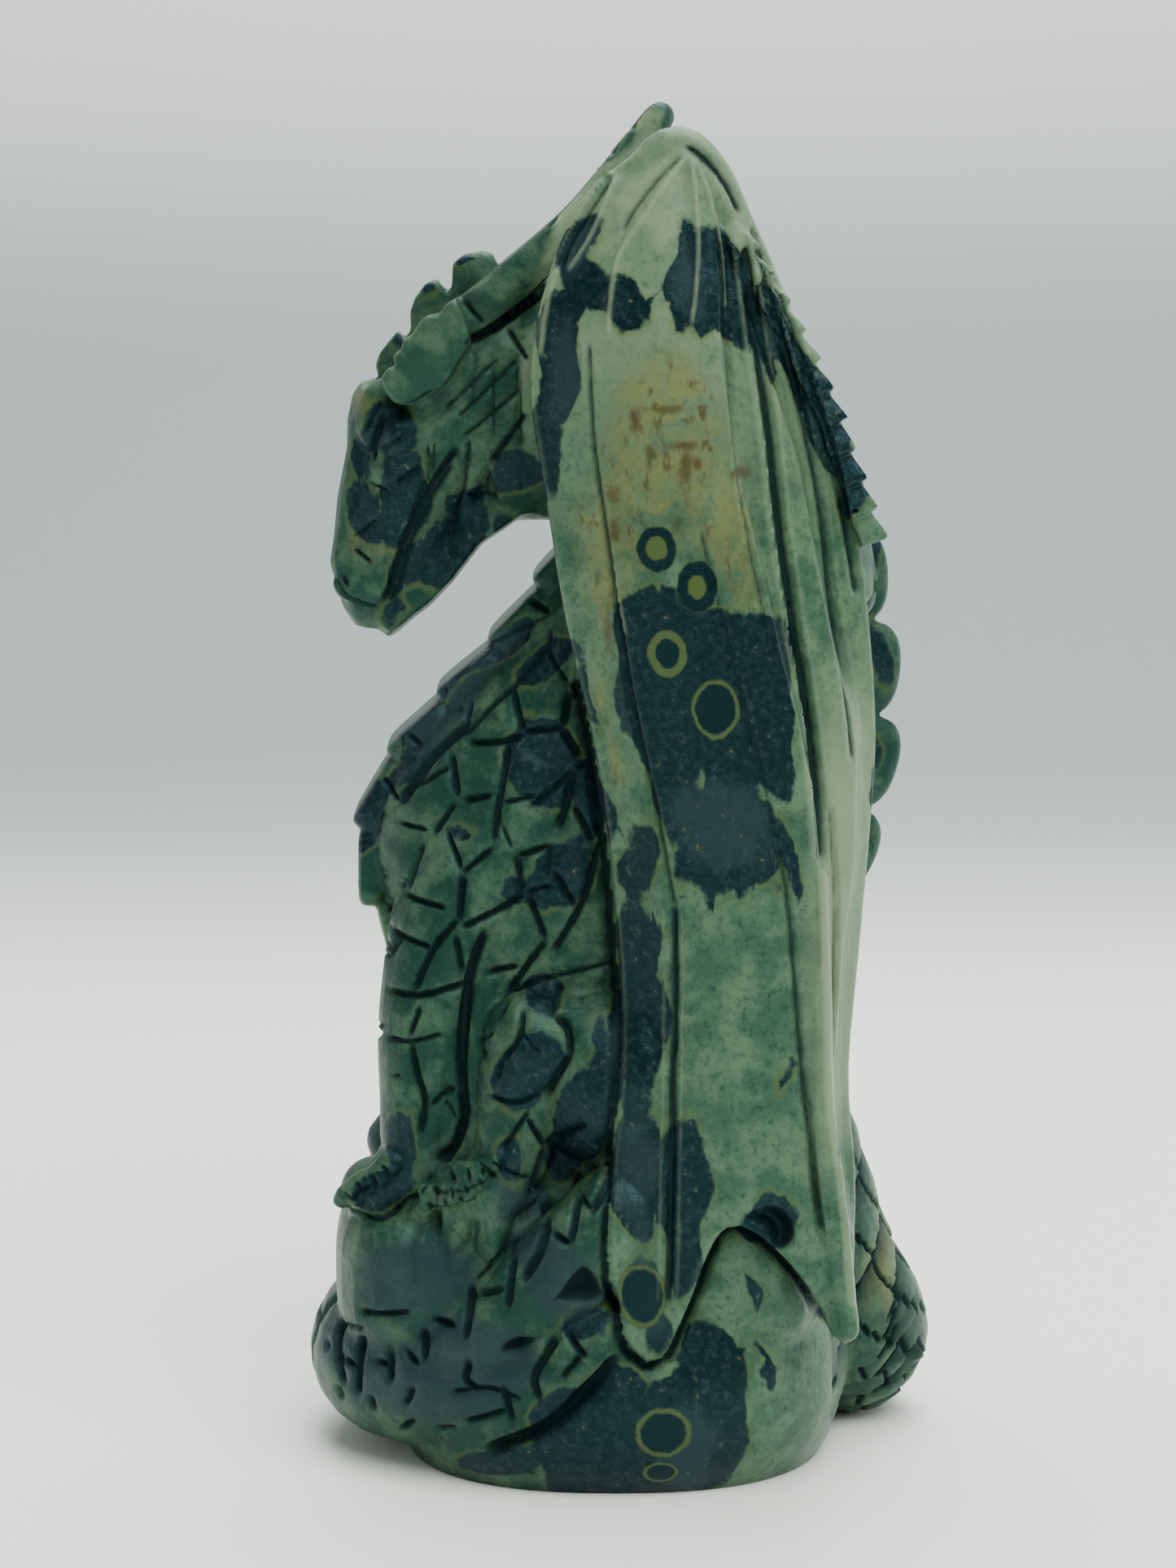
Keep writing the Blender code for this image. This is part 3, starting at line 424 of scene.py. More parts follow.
# Outlines of the plates of the head, and the shingles' line on the wing arm
CREST_LINE = traced(-2, """
    426,534 428,511 434,491 441,474 457,467 466,472 461,449 465,436 477,419 488,407 495,418 504,405
    503,384 509,366 522,349 535,343 543,352 549,362 555,352 556,324 568,314 592,308 605,313 612,328
    640,380 560,470 480,540
""")
FRILL_LINE = traced(-9, """
    569,384 561,366 547,374 540,386 524,388 515,397 505,413 495,418 493,430 482,436 488,452 477,452
    468,463 471,476 483,494 506,499 521,491 545,474 580,420
""")
HEAD_LINE = traced(-3, """
    442,470 432,485 426,515 425,550 420,580 414,610 409,660 404,692 409,708 424,726 438,744 450,760
    459,756 461,771 477,784 490,776 508,760 528,745 555,717 575,692 592,670 606,660 622,649 642,634
    662,630 662,560 600,520 540,500 480,480
""")
ARM_SHINGLES = traced(-20, """
    908,292 929,330 949,364 970,402 991,441 1009,481 1025,519 1036,555 1053,600 1070,648
""")
# Rows of beads on the paws of the left side, as (line, bead radius, count)
BEAD_ROWS = [
    (traced(-14, "423,1474 427,1466 435,1458 447,1448 463,1440 478,1422"), 1.15, 8),
    (traced(-15.5, "438,1472 452,1458 472,1446 486,1428"), 1.0, 6),
    (traced(-21, "546,1448 566,1440 588,1434 610,1424"), 1.1, 6),
    (traced(-21, "524,1470 544,1464 566,1458 592,1446"), 1.1, 6),
    (traced(-21, "520,1492 536,1482 556,1474 578,1466"), 1.05, 5),
]

# Dark figure of the stone, in part painted shadow beside the wing, the pale and tan clouds in it, and grey
# spots of painted reflection on the dark stone
WING_DARKS = traced_spots(-25, 14, """
    716 292 18 50 18; 724 352 30 38 0; 764 376 23 38 10; 828 362 22 48 14; 858 340 22 72 0;
    894 345 24 66 -10; 925 400 14 60 -16; 970 430 22 90 -24; 1020 520 22 70 -20; 1050 590 14 40 -15;
    682 455 30 95 -3; 674 548 18 55 -8; 800 752 48 44 0; 858 790 50 50 0; 778 810 26 70 -14;
    812 880 46 96 -14; 850 880 60 80 0; 930 800 40 62 -25; 945 900 38 88 -12; 870 940 66 70 0;
    882 1030 70 60 -10; 830 1000 26 50 0; 960 1060 14 46 -10; 905 1095 34 10 -20; 722 872 10 42 -14;
    773 1058 22 38 0; 784 1152 28 40 -20; 786 1250 34 80 0; 775 1330 16 40 0; 790 1440 36 80 0;
    846 1452 28 82 -8; 850 1530 20 60 14; 788 1568 24 32 0; 796 1622 20 22 0; 948 1490 36 34 0;
    964 1311 10 19 14; 910 1100 30 14 -20; 870 1730 42 110 -8; 800 1800 80 62 0; 760 1720 40 50 0;
    725 1790 66 70 0; 690 1740 30 50 20; 926 1592 12 26 -22; 934 1680 8 30 -24; 810 1838 60 12 0;
    1006 1620 10 30 0
""")
# The spots about the haunch and knee, just before the wing's front edge, are dark stone and also painted
# shadow of the wing.
BODY_DARKS = traced_spots(-14, 20, """
    664 940 40 42 0; 716 985 26 34 0; 672 820 44 20 -50; 600 815 80 18 -43; 510 905 66 20 -50;
    452 990 50 16 -70; 452 1030 14 36 10; 1095 835 18 50 0; 1088 965 12 46 0; 1096 705 12 40 0;
    560 1010 14 12 0; 690 1060 30 40 20; 640 1080 26 20 0; 640 588 34 26 0; 576 332 12 22 0;
    518 372 10 14 0; 476 432 8 14 0; 646 1292 36 46 14; 716 1348 44 84 14; 644 1402 18 30 0;
    742 1300 20 60 0; 672 1220 26 18 0; 496 1398 18 46 8; 470 1466 34 22 -20; 712 1590 26 26 0;
    700 1690 60 26 -40; 620 1760 60 20 -20
""")
FACE_DARKS = traced_spots(-8, 12, """
    486 520 32 36 20; 506 588 24 54 0; 480 632 22 44 0; 430 624 24 32 0; 452 652 28 24 -20;
    450 560 14 30 10; 545 672 34 58 32; 500 700 16 54 30; 560 620 20 26 10; 488 766 14 14 0;
    620 640 16 12 0; 588 610 16 22 0
""")
LIGHT_GAPS = traced_spots(-27, 12, """
    868 985 6 34 4; 799 350 16 70 2; 841 1735 6 46 8; 833 1016 4 22 -15; 912 700 12 10 0;
    770 705 12 8 0; 822 660 30 10 0
""")
TAN_CLOUDS = traced_spots(-20, 30, """
    820 520 64 90 0; 790 620 60 60 0; 880 600 40 70 0; 740 730 30 70 -20; 730 640 30 50 20;
    742 850 12 60 -16; 760 960 12 60 -14; 905 690 26 60 0; 900 640 30 60 0; 440 490 16 24 0;
    466 698 20 22 0; 424 690 20 18 0; 480 670 12 30 0; 1110 1600 30 60 0
""")
# Painted reflection: grey spots where the dark polished stone mirrors the pale room, on the wing's blotches,
# the pedestal, the coil and the belly
PAINTED_SHEEN_SPOTS = traced_spots(-25, 34, """
    880 1015 62 52 0; 790 1568 34 60 0; 790 1440 26 60 0; 690 470 20 60 0; 850 340 26 50 0;
    720 300 16 40 20; 500 1585 70 46 0; 560 870 130 40 -50; 440 1690 60 60 0; 560 1690 110 60 -20;
    680 1560 50 60 -30; 640 1480 30 30 0; 850 1780 40 70 0
""")
RUST_SPECKS = traced_spots(-27, 9, """
    843 575 7 24 -12; 755 612 9 10 0; 913 583 14 8 10; 858 572 4 8 0; 800 560 6 12 20; 818 505 22 5 -20;
    755 655 6 16 0; 748 780 6 30 25; 780 520 6 14 30; 838 548 18 5 10
""")
# Orbs, each with its ring's share of the radius and 1 for a pale ring round a dark heart
ORBS = traced_spots(-27, 9, """
    807 676 25 29 0 0.4 0; 857 722 24 32 0 0.5 0; 820 805 24 28 0 0.32 1; 879 872 29 36 0 0.1 1;
    815 1759 34 31 0 0.12 1; 789 1590 30 38 0 0.1 1; 812 1812 22 14 0 0.15 1
""")


def smooth_path(points, count, place=3):
    """The smooth curve through the points, read at even steps of the length of its first columns."""
    given = np.array(points, float)
    padded = np.vstack([2 * given[0] - given[1], given, 2 * given[-1] - given[-2]])
    fine = []
    for i in range(len(given) - 1):
        a, b, c, d = padded[i : i + 4]
        for t in np.linspace(0, 1, 12, endpoint=False):
            fine.append(
                0.5 * (2 * b + (c - a) * t + (2 * a - 5 * b + 4 * c - d) * t**2
                       + (3 * b - a - 3 * c + d) * t**3)
            )
    fine.append(given[-1])
    fine = np.array(fine)
    run = np.r_[0, np.cumsum(np.linalg.norm(np.diff(fine[:, :place], axis=0), axis=1))]
    even = np.linspace(0, run[-1], count)
    return np.array([np.interp(even, run, column) for column in fine.T]).T


def new_mesh(name, verts, faces):
    mesh = bpy.data.meshes.new(name)
    mesh.from_pydata([tuple(v) for v in verts], [], [tuple(int(i) for i in f) for f in faces])
    mesh.update()
    return mesh


def loft(name, rings):
    """A closed mesh through rings of equal point counts, with a flat cap at each end."""
    rings = np.array(rings)
    count, around = rings.shape[:2]
    faces = []
    for i in range(count - 1):
        for j in range(around):
            k = (j + 1) % around
            faces.append((i * around + j, i * around + k, (i + 1) * around + k, (i + 1) * around + j))
    faces.append(tuple(range(around))[::-1])
    faces.append(tuple((count - 1) * around + j for j in range(around)))
    return outward(new_mesh(name, rings.reshape(-1, 3) * UNIT, faces))


def settled(work, mesh):
    """Writes a bmesh into a mesh, and gives the mesh back."""
    work.to_mesh(mesh)
    work.free()
    return mesh


def evaluated(obj):
    """A plain mesh of the object as its modifiers leave it."""
    graph = bpy.context.evaluated_depsgraph_get()
    return bpy.data.meshes.new_from_object(obj.evaluated_get(graph))


def placed(name, data):
    """An object in the scene that holds a mesh, a light or a camera."""
    obj = bpy.data.objects.new(name, data)
    bpy.context.scene.collection.objects.link(obj)
    return obj


def outward(mesh):
    """The mesh with its caps welded on and every face turned out."""
    work = bmesh.new()
    work.from_mesh(mesh)
    bmesh.ops.remove_doubles(work, verts=work.verts, dist=1e-6)
    bmesh.ops.recalc_face_normals(work, faces=work.faces)
    return settled(work, mesh)


def column(name, rows, steps=26, around=36, squareness=2.4):
    """An upright body through flat sections."""
    angle = np.linspace(0, 2 * math.pi, around, endpoint=False)
    round_x = np.sign(np.cos(angle)) * np.abs(np.cos(angle)) ** (2 / squareness)
    round_y = np.sign(np.sin(angle)) * np.abs(np.sin(angle)) ** (2 / squareness)
    rings = []
    for z, front, back, depth in smooth_path(rows, steps, place=1):
        middle = (front + back) / 2
        reach = (back - front) / 2
        rings.append(np.column_stack([middle + reach * round_x, depth * round_y, np.full(around, z)]))
    return loft(name, rings)


def midline_loft(name, rows, steps=22, around=28):
    """A body that bends in the plane between the left and right sides."""
    path = smooth_path([(x, 0, z, height, depth) for x, z, height, depth in rows], steps)
    run = np.gradient(path[:, [0, 2]], axis=0)
    run /= np.linalg.norm(run, axis=1)[:, None]
    angle = np.linspace(0, 2 * math.pi, around, endpoint=False)
    rings = []
    for (x, _, z, height, depth), (dx, dz) in zip(path, run):
        up = np.outer(np.cos(angle) * height, (-dz, 0, dx))
        out = np.outer(np.sin(angle) * depth, (0, 1, 0))
        rings.append(np.array([x, 0, z]) + up + out)
    return loft(name, rings)


def limb(name, rows, side=1, steps=20, sides=3):
    """A round limb along a curve, with a rounded end."""
    path = smooth_path(rows, steps)
    end = path[-1, :3] - path[-2, :3]
    end /= np.linalg.norm(end)
    rounding = [(0.5, 0.86), (0.8, 0.6), (0.97, 0.24)]
    tip = [np.r_[path[-1, :3] + end * path[-1, 3] * far, path[-1, 3] * share] for far, share in rounding]
    path = np.vstack([path, tip])
    curve = bpy.data.curves.new(name, "CURVE")
    curve.dimensions = "3D"
    curve.bevel_depth = UNIT
    curve.bevel_resolution = sides
    curve.use_fill_caps = True
    line = curve.splines.new("POLY")
    line.points.add(len(path) - 1)
    for point, (x, y, z, radius) in zip(line.points, path):
        point.co = (x * UNIT, y * side * UNIT, z * UNIT, 1)
        point.radius = radius
    holder = bpy.data.objects.new(name, curve)
    mesh = bpy.data.meshes.new_from_object(holder)
    bpy.data.objects.remove(holder)
    bpy.data.curves.remove(curve)
    return outward(mesh)


def rounded_block(name, size, place, turn=0.0, side=1, power=2.0):
    """A ball or, with a higher power, a soft-edged block of half this size, tipped about Y."""
    work = bmesh.new()
    bmesh.ops.create_uvsphere(work, u_segments=40, v_segments=24, radius=1)
    for vert in work.verts:
        length = sum(abs(c) ** power for c in vert.co) ** (1 / power)
        vert.co = vert.co / length
    shape = Matrix.Translation(Vector(place)) @ Matrix.Rotation(turn, 4, "Y") @ Matrix.Diagonal((*size, 1))
    work.transform(Matrix.Scale(UNIT, 4) @ shape)
    if side < 0:
        work.transform(Matrix.Diagonal((1, -1, 1, 1)))
        bmesh.ops.reverse_faces(work, faces=work.faces)
    return settled(work, bpy.data.meshes.new(name))


def line_at(line, heights):
    """The x of a wing line at these heights."""
    path = smooth_path(line, 80)
    order = np.argsort(path[:, 1])
    return np.interp(heights, path[order, 1], path[order, 0])


def wing_face(x, z, front, back):
    """How far out the wing's outer face lies, in figure units."""
    heights, at_front, at_middle, at_back = np.array(WING_DEPTH).T
    share = np.clip((x - front) / np.maximum(back - front, 1), 0, 1)
    low = np.interp(z, heights, at_front)
    high = np.interp(z, heights, at_middle)
    rear = np.interp(z, heights, at_back)
    rise = np.sin(math.pi * np.clip(share / 1.1, 0, 1)) ** 0.8
    return low * (1 - share) + rear * share + (high - (low + rear) / 2) * rise


def wing_slab(side):
    """The wing's pleated wall, wider than its outline, which then trims it."""
    heights = np.linspace(13, 164, 76)
    lines = [line_at(line, heights) for line in (WING_LEADING, LINE_B, LINE_A, WING_REAR)]
    outer = []
    for z, x0, xb, xa, x1 in zip(heights, *lines):
        xa = max(xa, xb + FOLD_SPACING)
        x1 = max(x1, xa + FOLD_SPACING)
        fade = np.clip((z - 14) / 25, 0, 1) * np.clip((161 - z) / 14, 0.15, 1)
        across = np.r_[
            np.linspace(x0 - 3, xb - 0.3, 12), xb + 0.3, np.linspace(xb + 0.9, xa - 0.3, 3), xa + 0.3,
            np.linspace(xa + 0.9, x1 + 2, 4),
        ]
        drop = np.r_[np.zeros(12), [PLEAT_STEP * fade] * 4, [2 * PLEAT_STEP * fade] * 5]
        depth = wing_face(across, z, x0, x1) - drop
        outer.append(np.column_stack([across, -depth, np.full(len(across), z)]))
    outer = np.array(outer)
    edge = np.clip((outer[:, :, 0] - lines[0][:, None]) / 7, 0, 1)
    inner = outer.copy()
    inner[:, :, 1] += WING_EDGE_THICKNESS + (WING_THICKNESS - WING_EDGE_THICKNESS) * edge
    rings = np.concatenate([outer, inner[:, ::-1]], axis=1)
    rings[:, :, 1] *= side
    return loft("wing slab", rings)


def outline_prism(name, outline):
    """A tall prism over a side-view outline."""
    reach = 2 * max(row[2] for row in WING_DEPTH)
    return loft(name, [[(x, y, z) for x, z in outline] for y in (-reach, reach)])


def wing_outline():
    """The wing's edge seen from its side, all the way round."""
    leading = smooth_path(WING_LEADING, 40)
    foot = smooth_path(WING_FOOT, 24)
    back = smooth_path(WING_BACK_EDGE, 36)
    return [tuple(p) for p in np.vstack([leading[:-1], foot, back[:-1], WING_TOP])]


def trimmed(mesh, cutter, operation):
    """The mesh after an exact Boolean with the cutter."""
    body = placed(mesh.name, mesh)
    tool = placed(cutter.name, cutter)
    cut = body.modifiers.new("trim", "BOOLEAN")
    cut.operation = operation
    cut.solver = "EXACT"
    cut.object = tool
    result = evaluated(body)
    bpy.data.objects.remove(body)
    bpy.data.objects.remove(tool)
    return result


def side_plate(name, outline, sections, root):
    """A plate over a side-view outline, through (depth, share of its size about a root)."""
    middle = np.array(root)
    rings = []
    for depth, share in sections:
        sized = middle + (np.array(outline) - middle) * share
        rings.append([(x, depth, z) for x, z in sized])
    return loft(name, rings)


def gathered(pieces):
    """One bmesh that holds every shape as its own shell."""
    work = bmesh.new()
    for mesh in pieces:
        work.from_mesh(mesh)
    return work


def nearest_on(path, points):
    """Index of the nearest path point to each point, and the distance to it."""
    gap = np.linalg.norm(points[:, None, :] - path[None, :, :3], axis=2)
    index = gap.argmin(1)
    return index, gap[np.arange(len(points)), index]


def skin(points):
    """The place of each point on the skin of the body or the tail, unrolled flat."""
    routes = [smooth_path(BODY_CORE, 60), smooth_path(TAIL, 120)]
    place = np.zeros((len(points), 2))
    closest = np.full(len(points), 1e9)
    for number, route in enumerate(routes):
        run = np.gradient(route[:, :3], axis=0)
        length = np.r_[0, np.cumsum(np.linalg.norm(np.diff(route[:, :3], axis=0), axis=1))]
        index, gap = nearest_on(route, points)
        excess = gap - route[index, 3]
        away = points - route[index, :3]
        tangent = run[index] / np.linalg.norm(run[index], axis=1)[:, None]
        across = np.cross(tangent, (0.0, 1.0, 0.0) if number == 0 else (0.0, 0.0, 1.0))
        across /= np.maximum(np.linalg.norm(across, axis=1), 1e-9)[:, None]
        other = np.cross(tangent, across)
        angle = np.arctan2((away * across).sum(1), (away * other).sum(1))
        along = length[index] + (away * tangent).sum(1)
        flat = np.column_stack([along + 200 * number, angle * route[index, 3]])
        nearer = excess < closest
        place[nearer] = flat[nearer]
        closest = np.minimum(closest, excess)
    return place


def on_wing(points):
    """True on either wing's wall."""
    x, y, z = points.T
    front = line_at(WING_LEADING, z)
    back = np.maximum(line_at(WING_REAR, z), line_at(WING_ARM_EDGE, z))
    wall = WING_THICKNESS + 2 * PLEAT_STEP + 1
    depth = np.abs(y) > wing_face(x, z, front, back) - wall
    return (z > WING_BOTTOM) & (x > front - 1.5) & (x < back + 2.5) & depth


def scaly(points):
    """1 where the stone is carved with scales, 0 where it is polished or finely worked."""
    x, y, z = points.T
    depth = np.abs(y)
    on_tail = np.zeros(len(points), bool)
    for rows in (TAIL, TAIL_BAND):
        path = smooth_path(rows, 120)
        index, gap = nearest_on(path, points)
        on_tail |= gap < path[index, 3] + 1.5
    on_rock = (z < 34) & ~on_tail
    on_head = (x < -16) & (z > 100)
    on_belly = (depth < 7.4) & (x < line_at(CHEST, z) + 2.5) & (z > 62)
    on_ridge = (depth < 2.5) & (x > REAR_START)
    return (~(on_wing(points) | on_rock | on_head | on_belly | on_ridge)).astype(float)


class Wire:
    """One socket of a node tree, so that sums on values are written as plain expressions."""

    def __init__(self, maker, socket):
        self.maker = maker
        self.socket = socket

    def math(self, operation, *others):
        values = dict(enumerate((self, *others)))
        return self.maker.node("ShaderNodeMath", {"operation": operation}, values)

    def out(self, name):
        return Wire(self.maker, self.socket.node.outputs[name])

    def __add__(self, other):
        return self.math("ADD", other)

    __radd__ = __add__

    def __mul__(self, other):
        return self.math("MULTIPLY", other)

    __rmul__ = __mul__

    def __sub__(self, other):
        return self.math("SUBTRACT", other)

    def __rsub__(self, other):
        return self.maker.node("ShaderNodeMath", {"operation": "SUBTRACT"}, {0: other, 1: self})

    def __truediv__(self, other):
        return self.math("DIVIDE", other)

    def __rtruediv__(self, other):
        return self.maker.node("ShaderNodeMath", {"operation": "DIVIDE"}, {0: other, 1: self})

    def __neg__(self):
        return self * -1.0

    def least(self, other):
        return self.math("MINIMUM", other)

    def most(self, other):
        return self.math("MAXIMUM", other)

    def step(self, low, high):
        """0 at low, 1 at high, and a soft turn between."""
        settings = {"interpolation_type": "SMOOTHSTEP", "clamp": True}
        return self.maker.node("ShaderNodeMapRange", settings, {0: self, 1: low, 2: high})


class Maker:
    """Adds nodes to one tree, and gives each back as a wire from its first output."""

    def __init__(self, tree):
        self.tree = tree

    def node(self, kind, settings=None, values=None, out=0):
        made = self.tree.nodes.new(kind)
        for name, value in (settings or {}).items():
            setattr(made, name, value)
        for name, value in (values or {}).items():
            socket = made.inputs[name]
            if isinstance(value, Wire):
                self.tree.links.new(value.socket, socket)
            else:
                socket.default_value = value
        return Wire(self, made.outputs[out])

    def vector(self, operation, first, second=(0.0, 0.0, 0.0), out=0):
        return self.node("ShaderNodeVectorMath", {"operation": operation}, {0: first, 1: second}, out)

    def scaled(self, vector, size):
        return self.node("ShaderNodeVectorMath", {"operation": "SCALE"}, {0: vector, "Scale": size})

    def mix(self, share, first, second, blend="MIX"):
        settings = {"data_type": "RGBA", "blend_type": blend, "clamp_factor": True}
        return self.node("ShaderNodeMix", settings, {0: share, 6: first, 7: second}, 2)

    def noise(self, place, scale, detail=3.0, rough=0.55, out=0):
        values = {"Vector": place, "Scale": scale, "Detail": detail, "Roughness": rough}
        return self.node("ShaderNodeTexNoise", {"noise_dimensions": "3D"}, values, out)


def shape_tree(name, inputs):
    """An empty shape tree with these named inputs, as (name, kind, default)."""
    tree = bpy.data.node_groups.new(name, "GeometryNodeTree")
    tree.interface.new_socket("Geometry", in_out="OUTPUT", socket_type="NodeSocketGeometry")
    tree.interface.new_socket("Geometry", in_out="INPUT", socket_type="NodeSocketGeometry")
    for label, kind, default in inputs:
        socket = tree.interface.new_socket(label, in_out="INPUT", socket_type=kind)
        if default is not None:
            socket.default_value = default
    maker = Maker(tree)
    given = maker.node("NodeGroupInput")
    return tree, maker, given


def finish_tree(tree, maker, geometry, material):
    """Ends a shape tree in plain geometry with its material."""
    solid = maker.node("GeometryNodeRealizeInstances", None, {"Geometry": geometry})
    values = {"Geometry": solid, "Material": material}
    dressed = maker.node("GeometryNodeSetMaterial", None, values)
    tree.links.new(dressed.socket, tree.nodes.new("NodeGroupOutput").inputs["Geometry"])
    return tree


def plate_row_tree():
    """Plates along a path, each turned in the side view with the path and leant by one angle."""
    tree, maker, given = shape_tree("plates along a path", [
        ("Plate", "NodeSocketObject", None),
        ("Count", "NodeSocketInt", 8),
        ("Half size", "NodeSocketVector", (1.0, 1.0, 1.0)),
        ("Lean", "NodeSocketFloat", 0.0),
        ("Material", "NodeSocketMaterial", None),
    ])
    path = maker.node("GeometryNodeMeshToCurve", None, {"Mesh": given.out("Geometry")})
    values = {"Curve": path, "Count": given.out("Count")}
    points = maker.node("GeometryNodeCurveToPoints", {"mode": "COUNT"}, values)
    run = maker.node("ShaderNodeSeparateXYZ", None, {0: points.out("Tangent")})
    angle = run.out("X").math("ARCTAN2", run.out("Z")) + given.out("Lean")
    turn = maker.node("ShaderNodeCombineXYZ", None, {"Y": angle})
    plate = maker.node("GeometryNodeObjectInfo", None, {"Object": given.out("Plate")}).out("Geometry")
    row = maker.node("GeometryNodeInstanceOnPoints", None, {
        "Points": points, "Instance": plate, "Rotation": turn, "Scale": given.out("Half size"),
    })
    return finish_tree(tree, maker, row, given.out("Material"))


def carving_tree():
    """Sinks the lines between scales and the disc's cuts into the stone, and keeps how deep they go."""
    tree, maker, given = shape_tree("carving", [
        ("Scale size", "NodeSocketFloat", 7.0),
        ("Line width", "NodeSocketFloat", 1.4),
        ("Line depth", "NodeSocketFloat", 0.8),
        ("Material", "NodeSocketMaterial", None),
    ])

    def mark(name, kind="FLOAT"):
        return maker.node("GeometryNodeInputNamedAttribute", {"data_type": kind}, {"Name": name})

    lay = mark("lay", "FLOAT_VECTOR")
    scaled = mark("scaly")
    cut = mark("cut")
    size = given.out("Scale size")
    settings = {"voronoi_dimensions": "2D", "feature": "DISTANCE_TO_EDGE"}
    edge = maker.node("ShaderNodeTexVoronoi", settings, {
        "Vector": maker.scaled(lay, 1.0 / size), "Scale": 1.0, "Randomness": 0.75,
    }).out("Distance") * size
    line = (1.0 - edge * 2.0 / given.out("Line width")).most(0.0)
    depth = (line * given.out("Line depth") * scaled).most(0.0)
    whole = depth.most(cut) + cut.least(0.0)
    offset = maker.scaled(maker.node("GeometryNodeInputNormal"), whole * (-UNIT))
    values = {"Geometry": given.out("Geometry"), "Offset": offset}
    moved = maker.node("GeometryNodeSetPosition", None, values)
    settings = {"data_type": "FLOAT", "domain": "POINT"}
    values = {"Geometry": moved, "Name": "cavity", "Value": whole}
    kept = maker.node("GeometryNodeStoreNamedAttribute", settings, values)
    return finish_tree(tree, maker, kept, given.out("Material"))


def grown(obj, tree, values):
    """The plain mesh that a shape tree makes of an object, with its inputs set by their identifiers."""
    modifier = obj.modifiers.new(tree.name, "NODES")
    modifier.node_group = tree
    for item in tree.interface.items_tree:
        if item.in_out == "INPUT" and item.name in values:
            modifier[item.identifier] = values[item.name]
    mesh = evaluated(obj)
    obj.modifiers.remove(modifier)
    return mesh


def wedge(name):
    """A shingle with a sharp lower outer corner, one unit each way from its middle."""
    rings = []
    for z, inner, outer, depth in ((-1, 1, -0.35, 0.6), (0.6, 1, -0.9, 0.95), (1, 1, -1, 0.95)):
        corners = ((inner, -depth), (inner, depth), (outer, depth), (outer, -depth))
        rings.append([(x, y, z) for x, y in corners])
    return loft(name, rings)


def plate_row(name, path, count, half_size, lean, power, stone, side=1, shape=None):
    """A row of plates along (x, y, z) points, made by the shape tree."""
    points = smooth_path(path, 60)[:, :3] * (UNIT, side * UNIT, UNIT)
    line = bpy.data.meshes.new(name + " path")
    line.from_pydata([tuple(p) for p in points], [(i, i + 1) for i in range(len(points) - 1)], [])
    guide = placed(name + " path", line)
    plate = placed(name, shape(name) if shape else rounded_block(name, (1, 1, 1), (0, 0, 0), power=power))
    tree = bpy.data.node_groups.get("plates along a path") or plate_row_tree()
    mesh = grown(guide, tree, {
        "Plate": plate, "Count": count, "Half size": half_size, "Lean": lean, "Material": stone,
    })
    bpy.data.objects.remove(guide)
    bpy.data.objects.remove(plate)
    return mesh


def wings(stone):
    """Both wings: wall, arm, rib, the stone left behind them and the shingles on the arm."""
    shingle_line = []
    for x, z in ARM_SHINGLES:
        shingle_line.append((x, SHINGLE_DRIFT * max(0, SHINGLE_DRIFT_TOP - z) - SHINGLE_DEPTH, z))
    pieces = []
    for side in SIDES:
        prism = outline_prism("wing outline", wing_outline())
        pieces.append(trimmed(wing_slab(side), prism, "INTERSECT"))
        pieces.append(limb("wing arm", WING_ARM, side, steps=40, sides=6))
        pieces.append(limb("wing rib", WING_RIB, side, steps=30, sides=5))
        for size, place in FLANK_FILLS:
            pieces.append(rounded_block("flank", size, place, side=side, power=FLANK_POWER))
        pieces.append(
            plate_row("shingle", shingle_line, SHINGLES, SHINGLE_SIZE, 0.0, 0, stone, side, shape=wedge)
        )
    return pieces


def seated(line, pieces, rise):
    """A side-view line laid on the left side of the pieces, raised by a little, as (x, y, z)."""
    work = gathered(pieces)
    tree = BVHTree.FromBMesh(work)
    work.free()
    path = []
    for x, z in line:
        place, normal, _, _ = tree.ray_cast(Vector((x, -60, z)) * UNIT, Vector((0, 1, 0)))
        if place is not None:
            path.append(tuple((place + normal * rise * UNIT) / UNIT))
    if len(path) < 2:
        raise RuntimeError("a row of beads runs off the stone")
    return path


def ridge_rows(stone, stone_skin):
    """Plates of the back and of the belly, and the rows of beads that sit on the paws."""
    back = [(x, 0, z - BACK_PLATE_DROP) for x, z in SPINE]
    belly = [(x + BELLY_PLATE_SHIFT, 0, z) for x, z in CHEST]
    rows = [
        plate_row("back plate", back, BACK_PLATES, BACK_PLATE_SIZE, math.pi + BACK_PLATE_LEAN,
                  BACK_PLATE_POWER, stone),
        plate_row("belly plate", belly, BELLY_PLATES, BELLY_PLATE_SIZE, math.pi + BELLY_PLATE_LEAN,
                  BELLY_PLATE_POWER, stone),
    ]
    for line, radius, count in BEAD_ROWS:
        path = seated(line, stone_skin, BEAD_RISE * radius)
        for side in SIDES:
            shifted = [(x + FAR_PAW * (side < 0), y, z) for x, y, z in path]
            rows.append(
                plate_row("knuckle bead", shifted, count, (radius,) * 3, 0.0, BEAD_POWER, stone, side)
            )
    return rows


